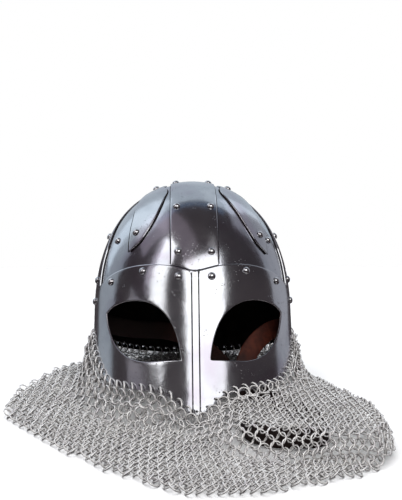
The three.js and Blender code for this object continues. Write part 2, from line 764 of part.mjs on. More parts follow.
const whole = new THREE.Group();
whole.add(helmet);
whole.add(piece("chin_strap", strapGeometry(), leather));
whole.add(piece("mail_curtain", curtainGeometry(), mailSteel));

// The origin is on the surface under the middle of the whole
const outline = new THREE.Box3().setFromObject(whole);
const middle = outline.getCenter(new THREE.Vector3());
whole.position.set(-middle.x, -middle.y, 0);

export default whole;
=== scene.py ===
import math

import bmesh
import bpy
import numpy as np
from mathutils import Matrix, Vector, geometry
from mathutils.bvhtree import BVHTree


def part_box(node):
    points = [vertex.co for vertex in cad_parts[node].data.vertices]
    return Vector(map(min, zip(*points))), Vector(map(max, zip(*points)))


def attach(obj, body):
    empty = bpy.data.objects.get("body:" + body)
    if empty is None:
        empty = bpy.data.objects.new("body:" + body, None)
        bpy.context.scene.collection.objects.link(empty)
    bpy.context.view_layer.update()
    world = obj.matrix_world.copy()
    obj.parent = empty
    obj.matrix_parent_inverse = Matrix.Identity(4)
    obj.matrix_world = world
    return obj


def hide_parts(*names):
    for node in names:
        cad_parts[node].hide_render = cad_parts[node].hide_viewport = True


print("loading the frame")
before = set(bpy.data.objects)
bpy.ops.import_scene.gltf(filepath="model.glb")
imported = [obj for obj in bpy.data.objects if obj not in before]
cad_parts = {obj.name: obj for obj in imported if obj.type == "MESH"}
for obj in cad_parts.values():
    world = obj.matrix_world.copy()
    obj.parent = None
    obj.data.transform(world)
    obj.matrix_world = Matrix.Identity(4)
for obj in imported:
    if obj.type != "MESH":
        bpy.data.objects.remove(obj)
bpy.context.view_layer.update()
millimetre = 0.001
seed = 11

# The helmet's own form, in millimetres and degrees, as the solids have it
form = {
    "halfWidth": 102.2, "halfLength": 116.2, "height": 158.5, "shoulder": 20.0, "roundness": 2.22,
    "wall": 1.2, "rimBack": 8.0, "rimFront": 17.0, "low": 0.5, "high": 2.0, "seam": 0.6,
    "bandHalf": 22.5, "brow": 38.0, "browRise": 8.3, "browDip": 35.0, "chin": 94.0,
    "rimMargin": 5.0, "lean": 24.0, "clearance": 3.0, "holePitch": 10.2, "maskEnd": 97.0,
    "cheekStart": 62.0, "cheekEnd": 84.0, "archMiddle": 36.0, "archReach": 32.0,
}
# The mask's lower line: degrees from the front, and depth as a share of the chin's
chinLine = np.array([(0, 1), (5, .955), (9, .885), (13, .82), (18, .772), (24, .742), (38, .695),
                     (49, .645), (54, .6)])
# A petal's rows: height as a share of the skull's, inner and outer edge in degrees from the
# front, or from the back for the petals behind
petalEdges = np.array([(.958, 46, 60), (.855, 25.6, 55), (.752, 24.8, 50.7), (.658, 27, 47.6),
                       (.581, 29.3, 46.2), (.503, 32.6, 44.9), (.446, 36.3, 44), (.398, 42.5, 43.2)])
# An ear strap's rows: height as a share of the skull's, half its width in degrees
earStrapEdges = np.array([(.976, 22), (.873, 18.5), (.789, 18), (.698, 19.5), (.614, 22),
                          (.491, 24), (.388, 23)])


def smoothShare(value, low, high):  # 0 at low, 1 at high, smooth on the way
    portion = np.clip((value - low) / (high - low), 0, 1)
    return portion * portion * (3 - 2 * portion)


def share(height):  # how wide the skull is at a height, as a share of its rim
    rise = np.clip((height - form["shoulder"]) / (form["height"] - form["shoulder"]), 0, 1)
    return (1 - rise ** form["roundness"]) ** (1 / form["roundness"])


def climbHeight(climb):  # the height at a share of the way from shoulder to crown
    rise = np.sin(np.clip(climb, 0, 1) * math.pi / 2) ** (2 / form["roundness"])
    return form["shoulder"] + (form["height"] - form["shoulder"]) * np.minimum(rise, 1)


def heightClimb(height):  # the share of the way at a height
    rise = np.clip((height - form["shoulder"]) / (form["height"] - form["shoulder"]), 0, 1)
    return np.arcsin(rise ** (form["roundness"] / 2)) * 2 / math.pi


def skullNormal(points):  # outward from the skull's form
    span = form["height"] - form["shoulder"]
    rise = np.clip((points[..., 2] - form["shoulder"]) / span, 0, 0.99999)
    left = 1 - rise ** form["roundness"]
    slope = left ** (2 / form["roundness"] - 1) * rise ** (form["roundness"] - 1) / span
    normal = np.stack([points[..., 0] / form["halfWidth"] ** 2,
                       points[..., 1] / form["halfLength"] ** 2, slope], -1)
    return normal / np.linalg.norm(normal, axis=-1, keepdims=True)


def skullAt(azimuth, height):  # points and normals, azimuth in degrees from the front
    azimuth, height = np.broadcast_arrays(np.asarray(azimuth, float), np.asarray(height, float))
    size, turn = share(height), np.radians(azimuth)
    points = np.stack([form["halfWidth"] * size * np.sin(turn),
                       -form["halfLength"] * size * np.cos(turn), height], -1)
    return points, skullNormal(points)


def skullOver(x, angle):  # the skull's points over the crown, by x and the angle forward
    x, angle = np.broadcast_arrays(np.asarray(x, float), np.asarray(angle, float))
    near, far = np.zeros(x.shape), np.full(x.shape, 2 * form["height"])
    for _ in range(40):
        middle = (near + far) / 2
        y, z = -middle * np.sin(angle), form["shoulder"] + middle * np.cos(angle)
        reach = (x / form["halfWidth"]) ** 2 + (y / form["halfLength"]) ** 2
        inside = (z < form["height"]) & (reach < share(z) ** 2)
        near, far = np.where(inside, middle, near), np.where(inside, far, middle)
    y, z = -near * np.sin(angle), form["shoulder"] + near * np.cos(angle)
    points = np.stack([x, y, z], -1)
    return points, skullNormal(points)


def browTop(azimuth):  # the upper line of the mask, level behind it
    away = np.abs(azimuth)
    x = form["halfWidth"] * np.sin(np.radians(np.minimum(away, 90)))

    def arch(angle):
        reach = np.clip((angle - form["archMiddle"]) / form["archReach"], -1, 1)
        return form["brow"] + form["browRise"] * (1 - reach ** 2)

    edge = arch(math.degrees(math.asin(form["bandHalf"] / form["halfWidth"])))
    dip = form["browDip"] + (edge - form["browDip"]) * x / form["bandHalf"]
    return np.where((x >= form["bandHalf"]) | (away > 90), arch(away), dip)


def holeHeight(azimuth):  # the line of the mail's holes
    away = np.abs(azimuth)
    front, back = chinLine[-1, 0], form["cheekEnd"]
    chin = -form["chin"] * np.interp(away, chinLine[:, 0], chinLine[:, 1])
    forward = np.cos(np.radians(away)) - math.cos(math.radians(back))
    whole = math.cos(math.radians(front)) - math.cos(math.radians(back))
    cheek = -form["chin"] * chinLine[-1, 1] * forward / whole
    return np.where(away <= front, chin, np.where(away < back, cheek, 0.0))


# Where the leaning helmet stands in the frame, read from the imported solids
lean = math.radians(form["lean"])
skullBox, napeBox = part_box("skull"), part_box("nape_band")
napeLow, napeLowNormal = skullAt(180, -form["rimMargin"])
napeTop, napeTopNormal = skullAt(180, form["brow"])
leaning = np.array([[1, 0, 0], [0, math.cos(lean), math.sin(lean)],
                    [0, -math.sin(lean), math.cos(lean)]])
lowCorner = leaning @ (napeLow + napeLowNormal * form["high"])
topCorner = leaning @ (napeTop + napeTopNormal * form["high"])
place = np.array([(skullBox[0][0] + skullBox[1][0]) / 2 / millimetre,
                  napeBox[1][1] / millimetre - topCorner[1],
                  form["clearance"] - lowCorner[2]])
print("rim centre at", place.round(2))


def stand(points):  # from the upright helmet's millimetres to the frame
    return (np.asarray(points, float) @ leaning.T + place) * millimetre


def laid(points):  # millimetres, x and y from the rim centre and z from the surface
    return (np.asarray(points, float) + [place[0], place[1], 0]) * millimetre


class Flow:
    # A socket that can stand in an expression: each operator adds its Math node
    def __init__(self, nodes, socket):
        self.nodes, self.socket = nodes, socket

    def out(self, name):
        return Flow(self.nodes, self.socket.node.outputs[name])

    def __add__(self, other):
        return self.nodes.maths("ADD", self, other)

    def __radd__(self, other):
        return self.nodes.maths("ADD", other, self)

    def __sub__(self, other):
        return self.nodes.maths("SUBTRACT", self, other)

    def __rsub__(self, other):
        return self.nodes.maths("SUBTRACT", other, self)

    def __mul__(self, other):
        return self.nodes.maths("MULTIPLY", self, other)

    def __rmul__(self, other):
        return self.nodes.maths("MULTIPLY", other, self)


class Nodes:
    def __init__(self, tree):
        self.tree = tree

    def make(self, kind, settings=None, values=None, output=0):
        node = self.tree.nodes.new(kind)
        for key, value in (settings or {}).items():
            setattr(node, key, value)
        for key, value in (values or {}).items():
            if isinstance(value, Flow):
                self.tree.links.new(value.socket, node.inputs[key])
            else:
                node.inputs[key].default_value = value
        return Flow(self, node.outputs[output]) if node.outputs else node

    def maths(self, operation, first, second):
        return self.make("ShaderNodeMath", {"operation": operation}, {0: first, 1: second})

    def between(self, value, low, high):  # 0 under low, 1 over high, smooth on the way
        return self.make("ShaderNodeMapRange", {"interpolation_type": "SMOOTHSTEP"},
                         {"Value": value, "From Min": low, "From Max": high})

    def noise(self, vector, scale, detail=2.0, rough=0.5, distortion=0.0):
        return self.make("ShaderNodeTexNoise", {}, {
            "Vector": vector, "Scale": scale, "Detail": detail, "Roughness": rough,
            "Distortion": distortion})

    def stretched(self, vector, scale, turn=(0, 0, 0)):
        return self.make("ShaderNodeMapping", {}, {
            "Vector": vector, "Scale": scale, "Rotation": turn})

    def colours(self, factor, first, second):  # the first colour at 0, the second at 1
        node = self.tree.nodes.new("ShaderNodeMix")
        node.data_type = "RGBA"
        for socket, value in ((node.inputs[0], factor), (node.inputs[6], first),
                              (node.inputs[7], second)):
            if isinstance(value, Flow):
                self.tree.links.new(value.socket, socket)
            else:
                socket.default_value = (*value, 1) if isinstance(value, tuple) else value
        return Flow(self, node.outputs[2])


def newMaterial(name):
    material = bpy.data.materials.new(name)
    material.use_nodes = True
    material.node_tree.nodes.clear()
    return material, Nodes(material.node_tree)


def principled(nodes, constants, varying):
    shader = nodes.make("ShaderNodeBsdfPrincipled", {}, {**constants, **varying})
    nodes.make("ShaderNodeOutputMaterial", {}, {"Surface": shader})


def steelMaterial(name, look):
    material, nodes = newMaterial(name)
    where = nodes.make("ShaderNodeTexCoord", output="Object")
    side = nodes.make("ShaderNodeAttribute", {"attribute_name": "side"}, output="Fac")
    upright = nodes.stretched(where, (1, 1, look["streakLength"]), (lean, 0, 0))
    broad = nodes.noise(where, look["patchScale"], 3, 0.55, 0.4)
    streaks = nodes.noise(upright, look["streakScale"], 4, 0.6)
    fine = nodes.noise(where, look["fineScale"], 2, 0.5)
    specks = nodes.make("ShaderNodeTexVoronoi", {}, {"Vector": where, "Scale": look["pitScale"]})
    sparse = nodes.between(nodes.noise(where, look["pitScale"] * 0.13, 2), *look["sparseSpan"])
    for spot, reach in look["blemishes"]:  # clusters of pits, each with its place and reach
        away = nodes.make("ShaderNodeVectorMath", {"operation": "DISTANCE"}, {
            0: where, 1: spot}, "Value")
        sparse = nodes.maths("MAXIMUM", sparse, 1 - nodes.between(away, 0.4 * reach, reach))
    pits = (1 - nodes.between(specks, *look["pitSpan"])) * sparse
    tint = nodes.colours(nodes.between(broad, *look["toneSpan"]), look["pale"], look["dark"])
    blots = nodes.noise(where, look["stainScale"], 4, 0.62, 0.8)
    stained = nodes.between(blots, *look["stainSpan"])
    tint = nodes.colours(stained * look["stain"], tint, look["stainColour"])
    tarnish = nodes.noise(where, look["stainScale"] * 1.7, 3, 0.6, 0.5)
    violet = nodes.between(tarnish, *look["violetSpan"])
    tint = nodes.colours(violet * look["stain"], tint, look["violet"])
    tint = nodes.colours(pits * look["pitMix"], tint, look["pitColour"])
    litEdge = nodes.between(side, 0.05, 0.3) - nodes.between(side, 0.3, 0.55)  # 1 at an upper edge
    # Painted highlight: the plates' upper edges lightened towards near white
    tint = nodes.colours(litEdge * look["edgeHighlight"], tint, look["edgeHighlightColour"])
    inner = nodes.between(side, 0.5, 0.8)  # 1 on an under face
    # Painted shade: the under faces and the edge walls darkened to near black, for the shadow in the
    # gap under each plate
    tint = nodes.colours(inner * look["gapShade"], tint, look["gapShadeColour"])
    if look["shaded"]:  # painted shade: the wires' faces that look down are darkened
        facing = nodes.make("ShaderNodeNewGeometry", output="Normal")
        under = 1 - nodes.between(nodes.make("ShaderNodeSeparateXYZ", {}, {0: facing}, "Z"),
                                  *look["shaded"])
        tint = nodes.colours(under * look["underShadeMix"], tint, look["under"])
    rough = (look["roughness"] + streaks * look["streakRough"] + stained * look["stainRough"]
             + pits * look["pitRough"] + inner * look["innerRough"])
    beaten = nodes.noise(where, look["patchScale"] * 3.1, 2, 0.5)
    height = (broad * look["wave"] + beaten * look["wave"] * 0.2 + streaks * look["streakDepth"]
              + fine * look["fineDepth"] - pits * look["pitDepth"])
    normal = nodes.make("ShaderNodeBump", {}, {
        "Height": height, "Strength": 1.0, "Distance": 0.001})
    principled(nodes, {"Metallic": look["metallic"]}, {
        "Base Color": tint, "Roughness": rough, "Normal": normal})
    return material


# Besides the steel's own tones, stains and pits, the plate looks hold a painted highlight for the
# upper edges and painted shade for the under faces and edge walls
plateLook = {
    "pale": (0.66, 0.68, 0.72), "dark": (0.46, 0.48, 0.53), "stainColour": (0.42, 0.31, 0.24),
    "pitColour": (0.08, 0.06, 0.055), "stain": 0.55, "stainScale": 9.0, "patchScale": 16.0,
    "streakScale": 46.0, "streakLength": 0.12, "fineScale": 260.0, "pitScale": 430.0,
    "roughness": 0.1, "streakRough": 0.13, "wave": 0.7, "streakDepth": 0.1,
    "fineDepth": 0.012, "pitDepth": 0.1, "metallic": 1.0, "edgeHighlight": 0.6, "gapShade": 0.85,
    "edgeHighlightColour": (0.95, 0.94, 0.93), "gapShadeColour": (0.03, 0.025, 0.024),
    "violet": (0.5, 0.43, 0.52), "shaded": None, "pitMix": 0.85, "stainRough": 0.1,
    "pitRough": 0.25, "innerRough": 0.3, "sparseSpan": (0.56, 0.66), "pitSpan": (0.1, 0.26),
    "toneSpan": (0.35, 0.7), "stainSpan": (0.6, 0.78), "violetSpan": (0.5, 0.7),
    "blemishes": [((0.004, -0.048, 0.162), 0.028), ((0.035, 0.0, 0.2), 0.016)],
}
rivetLook = {**plateLook, "pale": (0.8, 0.8, 0.81), "dark": (0.66, 0.66, 0.68), "stain": 0.15,
             "wave": 0.0, "patchScale": 90.0, "roughness": 0.1}
# The mail's under colour is painted shade for the wires' faces that look down
mailLook = {**plateLook, "pale": (1.0, 0.985, 0.965), "dark": (0.82, 0.8, 0.78), "stain": 0.25,
            "stainColour": (0.5, 0.42, 0.37), "stainScale": 60.0, "patchScale": 70.0,
            "wave": 0.0, "streakDepth": 0.02, "roughness": 0.2, "metallic": 0.5,
            "shaded": (-0.55, 0.25), "under": (0.12, 0.11, 0.105), "underShadeMix": 0.92}


insideLook = {"dark": (0.006, 0.005, 0.005), "pale": (0.016, 0.011, 0.01), "patchScale": 45,
              "toneSpan": (0.35, 0.7), "fineScale": 240, "bump": 0.5, "gloss": 0.2,
              "roughness": 0.55, "patchRough": 0.3}


def insideMaterial(look):  # the near-black inner faces
    material, nodes = newMaterial("blackened_inside")
    where = nodes.make("ShaderNodeTexCoord", output="Object")
    mottled = nodes.noise(where, look["patchScale"], 4, 0.6)
    colour = nodes.colours(nodes.between(mottled, *look["toneSpan"]), look["dark"], look["pale"])
    normal = nodes.make("ShaderNodeBump", {}, {
        "Height": nodes.noise(where, look["fineScale"], 3), "Strength": look["bump"],
        "Distance": 0.0004})
    rough = look["roughness"] + mottled * look["patchRough"]
    principled(nodes, {"Specular IOR Level": look["gloss"]}, {
        "Base Color": colour, "Roughness": rough, "Normal": normal})
    return material


insideBlack = insideMaterial(insideLook)
skullSteel = steelMaterial("skull_steel", plateLook)
plateSteel = steelMaterial("plate_steel", {
    **plateLook, "pale": (0.72, 0.73, 0.76), "dark": (0.52, 0.54, 0.58)})
rivetSteel = steelMaterial("rivet_steel", rivetLook)
mailSteel = steelMaterial("mail_steel", mailLook)


# The strap's dark colour low down and on its -x side is painted shade
leatherLook = {"dark": (0.05, 0.009, 0.005), "pale": (0.25, 0.055, 0.028),
               "crease": (0.05, 0.015, 0.009), "shadeColour": (0.022, 0.01, 0.008),
               "grainScale": 900.0, "patchScale": 55, "fineScale": 700,
               "creaseSpan": (0.0, 0.09), "toneSpan": (0.3, 0.72), "creaseMix": 0.5,
               "shadeHeights": (0.015, 0.06), "shaded": (-0.04, 0.03), "bump": 0.6, "gloss": 0.45,
               "roughness": 0.5, "patchRough": 0.24}


def leatherMaterial(look):
    material, nodes = newMaterial("strap_leather")
    where = nodes.make("ShaderNodeTexCoord", output="Object")
    grain = nodes.make("ShaderNodeTexVoronoi", {"feature": "DISTANCE_TO_EDGE"},
                       {"Vector": where, "Scale": look["grainScale"]})
    crease = 1 - nodes.between(grain, *look["creaseSpan"])
    mottled = nodes.noise(where, look["patchScale"], 4, 0.6)
    colour = nodes.colours(nodes.between(mottled, *look["toneSpan"]), look["dark"], look["pale"])
    colour = nodes.colours(crease * look["creaseMix"], colour, look["crease"])
    spot = nodes.make("ShaderNodeSeparateXYZ", {}, {0: where}, "Z")
    unshaded = nodes.between(spot, *look["shadeHeights"]) * nodes.between(spot.out("X"), *look["shaded"])
    colour = nodes.colours(unshaded, look["shadeColour"], colour)  # painted shade: dark low down and on the shaded -x side
    height = mottled * 0.5 - crease * 0.35 + nodes.noise(where, look["fineScale"], 2) * 0.2
    normal = nodes.make("ShaderNodeBump", {}, {
        "Height": height, "Strength": look["bump"], "Distance": 0.0004})
    rough = look["roughness"] + mottled * look["patchRough"]
    principled(nodes, {"Specular IOR Level": look["gloss"]}, {
        "Base Color": colour, "Roughness": rough, "Normal": normal})
    return material


strapLeather = leatherMaterial(leatherLook)
print("materials ready")

sharpAngle = 45.0  # degrees past which a piece's edges stay sharp


def newPiece(name, points, faces, material, sharp=sharpAngle, side=None):
    # side: 0 on a plate's face, 0.3 along its upper edge, 1 on its under face
    mesh = bpy.data.meshes.new(name)
    mesh.from_pydata([tuple(point) for point in points], [], [tuple(face) for face in faces])
    if side is not None:
        mesh.attributes.new("side", "FLOAT", "POINT").data.foreach_set("value", side)
    made = bpy.data.objects.new(name, mesh)
    bpy.context.scene.collection.objects.link(made)
    shape = bmesh.new()
    shape.from_mesh(mesh)
    bmesh.ops.remove_doubles(shape, verts=shape.verts, dist=2e-6)
    bmesh.ops.recalc_face_normals(shape, faces=shape.faces)
    shape.to_mesh(mesh)
    shape.free()
    mesh.shade_smooth()
    mesh.set_sharp_from_angle(angle=math.radians(sharp))
    mesh.materials.append(material)
    return made


# The plates' edges: the bevel of all but the mask, how far in the two rows of its rounding lie,
# as shares of the bevel, and how much the nearer row drops
edgePlan = {"bevel": 0.4, "near": 0.7, "far": 2.4, "nearDrop": 0.2}


def edged(count, length, bevel):  # shares along a length with two close rows at each end
    near = min(edgePlan["near"] * bevel / length, 0.1)
    far = min(edgePlan["far"] * bevel / length, 0.25)
    return np.array([0, near, *np.linspace(far, 1 - far, count), 1 - near, 1])


def plateFaces(rows, columns, ring=False):
    # An outer and an inner sheet, closed along their edges
    def at(side, row, column):
        return (side * rows + row) * columns + column % columns

    last = columns if ring else columns - 1
    faces = []
    for row in range(rows - 1):
        for column in range(last):
            a, b = (row, column), (row, column + 1)
            c, d = (row + 1, column + 1), (row + 1, column)
            faces.append([at(0, *a), at(0, *b), at(0, *c), at(0, *d)])
            faces.append([at(1, *a), at(1, *d), at(1, *c), at(1, *b)])
    for column in range(last):
        for row in (0, rows - 1):
            faces.append([at(0, row, column), at(1, row, column),
                          at(1, row, column + 1), at(0, row, column + 1)])
    if not ring:
        for row in range(rows - 1):
            for column in (0, columns - 1):
                faces.append([at(0, row, column), at(0, row + 1, column),
                              at(1, row + 1, column), at(1, row, column)])
    return faces


def bevelDrop(count, bevel):  # how far each row lies under the plate's face
    drop = np.zeros(count)
    drop[[0, -1]] = bevel
    drop[[1, -2]] = edgePlan["nearDrop"] * bevel
    return drop


def plate(name, sampleAt, rows, columns):
    # A plate over the skull: sampleAt gives points and normals by shares along and across it
    bevel = edgePlan["bevel"]
    middle, _ = sampleAt(np.linspace(0, 1, 30), np.full(30, 0.5))
    length = np.linalg.norm(np.diff(middle, axis=0), axis=1).sum()
    along = edged(rows, length, bevel)
    left, _ = sampleAt(along, np.zeros(len(along)))
    right, _ = sampleAt(along, np.ones(len(along)))
    widths = np.maximum(np.linalg.norm(right - left, axis=1), 0.4)
    across = np.array([edged(columns, width, bevel) for width in widths])
    points, normals = sampleAt(along[:, None] + 0 * across, across)
    drop = np.maximum(bevelDrop(len(along), bevel)[:, None],
                      bevelDrop(across.shape[1], bevel)[None])
    outer = points + normals * (form["high"] - drop)[..., None]
    inner = points + normals * form["low"]
    both = np.concatenate([outer.reshape(-1, 3), inner.reshape(-1, 3)])
    side = np.concatenate([np.where(drop.ravel() > 0.9 * bevel, 0.3, 0), np.ones(drop.size)])
    return newPiece(name, stand(both), plateFaces(len(along), across.shape[1]), plateSteel,
                    side=side)


print("making the skull and bands")
skullPlan = {"rows": 64, "columns": 168, "rimRow": 0.6}


def skullPiece():
    columns = skullPlan["columns"]
    azimuth = np.linspace(-180, 180, columns, endpoint=False)
    rim = form["rimFront"] + (form["rimBack"] - form["rimFront"]) * smoothShare(
        np.abs(azimuth), form["cheekStart"], form["cheekEnd"])
    climb = climbHeight(np.linspace(0, 1, skullPlan["rows"]))
    heights = [rim, rim + skullPlan["rimRow"], *[np.full(columns, value) for value in climb]]
    points, normals = skullAt(azimuth[None], np.array(heights))
    both = np.concatenate([points.reshape(-1, 3),
                           (points - normals * form["wall"]).reshape(-1, 3)])
    made = newPiece("skull_shell", stand(both), plateFaces(len(heights), columns, True),
                    skullSteel)
    return darkInside(made)


def darkInside(piece):  # the faces that look inwards get the near-black material
    piece.data.materials.append(insideBlack)
    for face in piece.data.polygons:
        spot = (np.array(face.center) / millimetre - place) @ leaning
        inward = np.array(face.normal) @ leaning @ skullNormal(spot)
        face.material_index = 1 if inward < -0.5 else 0
    return piece


skullShell = skullPiece()


def centreBandAt(along, across):
    x = (2 * across - 1) * form["bandHalf"]

    def angleAt(height):
        size = np.sqrt(share(height) ** 2 - (x / form["halfWidth"]) ** 2)
        return np.arctan2(form["halfLength"] * size, height - form["shoulder"])

    azimuth = np.degrees(np.arcsin(np.abs(x) / form["halfWidth"]))
    front = angleAt(browTop(azimuth) + form["seam"])
    back = -angleAt(form["brow"] + form["seam"] + 0 * x)
    return skullOver(x, front + (back - front) * along)


petalPlan = {"steps": 60, "turn": 3.8, "turnFrom": 0.05, "turnTo": 0.4, "rows": 40, "columns": 8}


def smoothColumn(table, column):  # the table's column as a smooth curve of its rows
    fine = np.linspace(0, len(table) - 1, petalPlan["steps"])
    before = np.clip(np.floor(fine).astype(int), 0, len(table) - 2)
    values = table[:, column]
    padded = np.concatenate([[2 * values[0] - values[1]], values, [2 * values[-1] - values[-2]]])
    t = fine - before
    p0, p1, p2, p3 = (padded[before + k] for k in range(4))
    return 0.5 * (2 * p1 + (p2 - p0) * t + (2 * p0 - 5 * p1 + 4 * p2 - p3) * t ** 2
                  + (3 * p1 - p0 - 3 * p2 + p3) * t ** 3)


petalCurve = {key: smoothColumn(petalEdges, column) for column, key in
              enumerate(("height", "inner", "outer"))}


def petalAt(side, ahead):
    def sampleAt(along, across):
        steps = np.linspace(0, 1, petalPlan["steps"])
        height = np.interp(along, steps, petalCurve["height"])
        inner = np.interp(along, steps, petalCurve["inner"])
        outer = np.interp(along, steps, petalCurve["outer"])
        away = inner + (outer - inner) * across
        away = away + petalPlan["turn"] * side * smoothShare(
            1 - height, petalPlan["turnFrom"], petalPlan["turnTo"])
        azimuth = side * (away if ahead > 0 else 180 - away)
        return skullAt(azimuth, height * form["height"])

    return sampleAt


def earStrapAt(side):
    top = heightClimb(earStrapEdges[0, 0] * form["height"])

    def sampleAt(along, across):
        level = climbHeight(top + (heightClimb(form["brow"]) - top) * along) / form["height"]
        spread = np.interp(level, earStrapEdges[::-1, 0], earStrapEdges[::-1, 1])
        azimuth = 90 + spread * (2 * across - 1)
        foot = np.where(azimuth < 90, browTop(azimuth), form["brow"])
        height = climbHeight(top + (heightClimb(foot + form["seam"]) - top) * along)
        return skullAt(side * azimuth, height)

    return sampleAt


# The painted shadow strips along the plates' edges, in millimetres
shadowStripPlan = {"width": 1.1, "outerWidth": 3.1, "under": 0.3, "lift": 0.05, "steps": 70,
            "ends": 0.004}


def shadowStrips(name, sampleAt, outerWidth=shadowStripPlan["width"]):
    # Painted shadow: a near-black strip on the skull along a plate's long edges, for the shade in
    # the crevice where they meet
    along = np.linspace(shadowStripPlan["ends"], 1 - shadowStripPlan["ends"], shadowStripPlan["steps"])
    count = len(along)
    left, _ = sampleAt(along, np.zeros(count))
    right, _ = sampleAt(along, np.ones(count))
    plateWidth = np.maximum(np.linalg.norm(right - left, axis=1), 1.5)
    points, faces = [], []
    for side, width in enumerate((shadowStripPlan["width"], outerWidth)):
        beyond = width / plateWidth * (1 if side else -1)
        for reach in (-shadowStripPlan["under"], 1.0):
            spot, normal = sampleAt(along, side + beyond * reach)
            points.append(spot + normal * shadowStripPlan["lift"])
        first = 2 * count * side
        for k in range(first, first + count - 1):
            quad = [k, k + 1, count + k + 1, count + k]
            faces.append(quad if side else quad[::-1])
    return newPiece(name, stand(np.concatenate(points)), faces, insideBlack)


bandRows, bandColumns = 90, 12
earRows, earColumns = 50, 18
plates = {"centre_band": plate("centre_band_plate", centreBandAt, bandRows, bandColumns)}
shadowStripPieces = [shadowStrips("seam_centre_band", centreBandAt)]
for sideName, side in (("right", -1), ("left", 1)):
    for end, ahead in (("front", 1), ("back", -1)):
        name = f"petal_{end}_{sideName}"
        plates[name] = plate(name + "_plate", petalAt(side, ahead), petalPlan["rows"],
                             petalPlan["columns"])
        shadowStripPieces.append(shadowStrips("seam_" + name, petalAt(side, ahead), shadowStripPlan["outerWidth"]))
    name = f"ear_strap_{sideName}"
    plates[name] = plate(name + "_plate", earStrapAt(side), earRows, earColumns)
    shadowStripPieces.append(shadowStrips("seam_" + name, earStrapAt(side)))

print("making the mask and nape band")


def holeAzimuths():  # the holes of one half, evenly spaced from the front to the back
    azimuth = np.linspace(0, 180, 1441)
    line, _ = skullAt(azimuth, holeHeight(azimuth))
    length = np.concatenate([[0], np.cumsum(np.linalg.norm(np.diff(line, axis=0), axis=1))])
    count = round(length[-1] / form["holePitch"])
    return np.interp(np.linspace(0, length[-1], count + 1), length, azimuth)


halfHoles = holeAzimuths()
seamHole = int(np.argmax(halfHoles > form["maskEnd"]))
seamAzimuth = (halfHoles[seamHole - 1] + halfHoles[seamHole]) / 2
maskPlan = {"step": 2.2, "grid": 3.4, "rowShare": 0.87, "room": 1.1, "bevel": 0.45,
            "ribHalf": 3.9, "ribTop": 2.5, "ribFoot": 4.6, "ribHeight": 1.7, "ribStep": 1.6,
            "corner": 25}
eyePlan = {"inner": 7.5, "outer": 56.2, "top": 12.5, "bottom": -47.7, "step": 0.8, "corner": 30}
arcAzimuth = np.linspace(-180, 180, 7201)
arcPoints, _ = skullAt(arcAzimuth, 0)
arcLength = np.concatenate([[0], np.cumsum(np.linalg.norm(np.diff(arcPoints, axis=0), axis=1))])
arcLength -= arcLength[len(arcLength) // 2]


def toArc(azimuth):  # millimetres round the rim from the front
    return np.interp(azimuth, arcAzimuth, arcLength)


def fromArc(length):
    return np.interp(length, arcLength, arcAzimuth)


def bezier(points, count):  # that many points on the curve, without its end
    t = np.linspace(0, 1, count, endpoint=False)[:, None]
    a, b, c, d = np.array(points, float)
    return a * (1 - t) ** 3 + 3 * b * t * (1 - t) ** 2 + 3 * c * t * t * (1 - t) + d * t ** 3


def eyeLoop(side):  # shares from the inner to the outer corner and from the bottom to the top
    shares = np.concatenate([
        bezier([(0, 0), (.041, .592), (.195, 1), (.661, 1)], 40),
        bezier([(.661, 1), (.795, 1), (.908, .963), (1, .89)], 16),
        bezier([(1, .89), (.934, .46), (.708, .028), (.339, 0)], 36),
        bezier([(.339, 0), (.226, 0), (.113, 0), (0, 0)], 12)])
    azimuth = side * (eyePlan["inner"] + (eyePlan["outer"] - eyePlan["inner"]) * shares[:, 0])
    height = eyePlan["bottom"] + (eyePlan["top"] - eyePlan["bottom"]) * shares[:, 1]
    return np.stack([toArc(azimuth), height], 1)


def evenLoop(loop, step, corner):
    # The loop with even steps, its corners past that many degrees kept
    closed = np.vstack([loop, loop[:1]])
    edges = np.diff(closed, axis=0)
    angle = np.arctan2(edges[:, 1], edges[:, 0])
    turn = np.abs((angle - np.roll(angle, 1) + math.pi) % (2 * math.pi) - math.pi)
    corners = np.where(turn > math.radians(corner))[0]
    corners = corners if len(corners) else np.array([0])
    made = []
    for start, stop in zip(corners, np.roll(corners, -1)):
        stop = stop if stop > start else stop + len(loop)
        part = loop[np.arange(start, stop + 1) % len(loop)]
        length = np.concatenate([[0], np.cumsum(np.linalg.norm(np.diff(part, axis=0), axis=1))])
        count = max(1, round(length[-1] / step))
        at = np.linspace(0, length[-1], count, endpoint=False)
        made.append(np.stack([np.interp(at, length, part[:, k]) for k in (0, 1)], 1))
    return np.concatenate(made)


def insetLoop(loop, distance):  # towards the left of the way round
    def leftOf(way):
        return np.stack([-way[:, 1], way[:, 0]], 1) / np.linalg.norm(way, axis=1, keepdims=True)

    before = leftOf(loop - np.roll(loop, 1, 0))
    after = leftOf(np.roll(loop, -1, 0) - loop)
    middle = before + after
    middle /= np.linalg.norm(middle, axis=1, keepdims=True)
    sharpest = 0.35  # keeps a corner's inset from running away
    reach = np.maximum((middle * before).sum(1), sharpest)
    return loop + middle * (distance / reach)[:, None]


def insideLoop(points, loop):  # which of the points lie inside the loop
    x, y = points[:, 0][:, None], points[:, 1][:, None]
    x0, y0 = loop[:, 0][None], loop[:, 1][None]
    x1, y1 = np.roll(loop[:, 0], -1)[None], np.roll(loop[:, 1], -1)[None]
    cross = ((y0 > y) != (y1 > y)) & (x < (x1 - x0) * (y - y0) / (y1 - y0 + 1e-12) + x0)
    return cross.sum(1) % 2 == 1


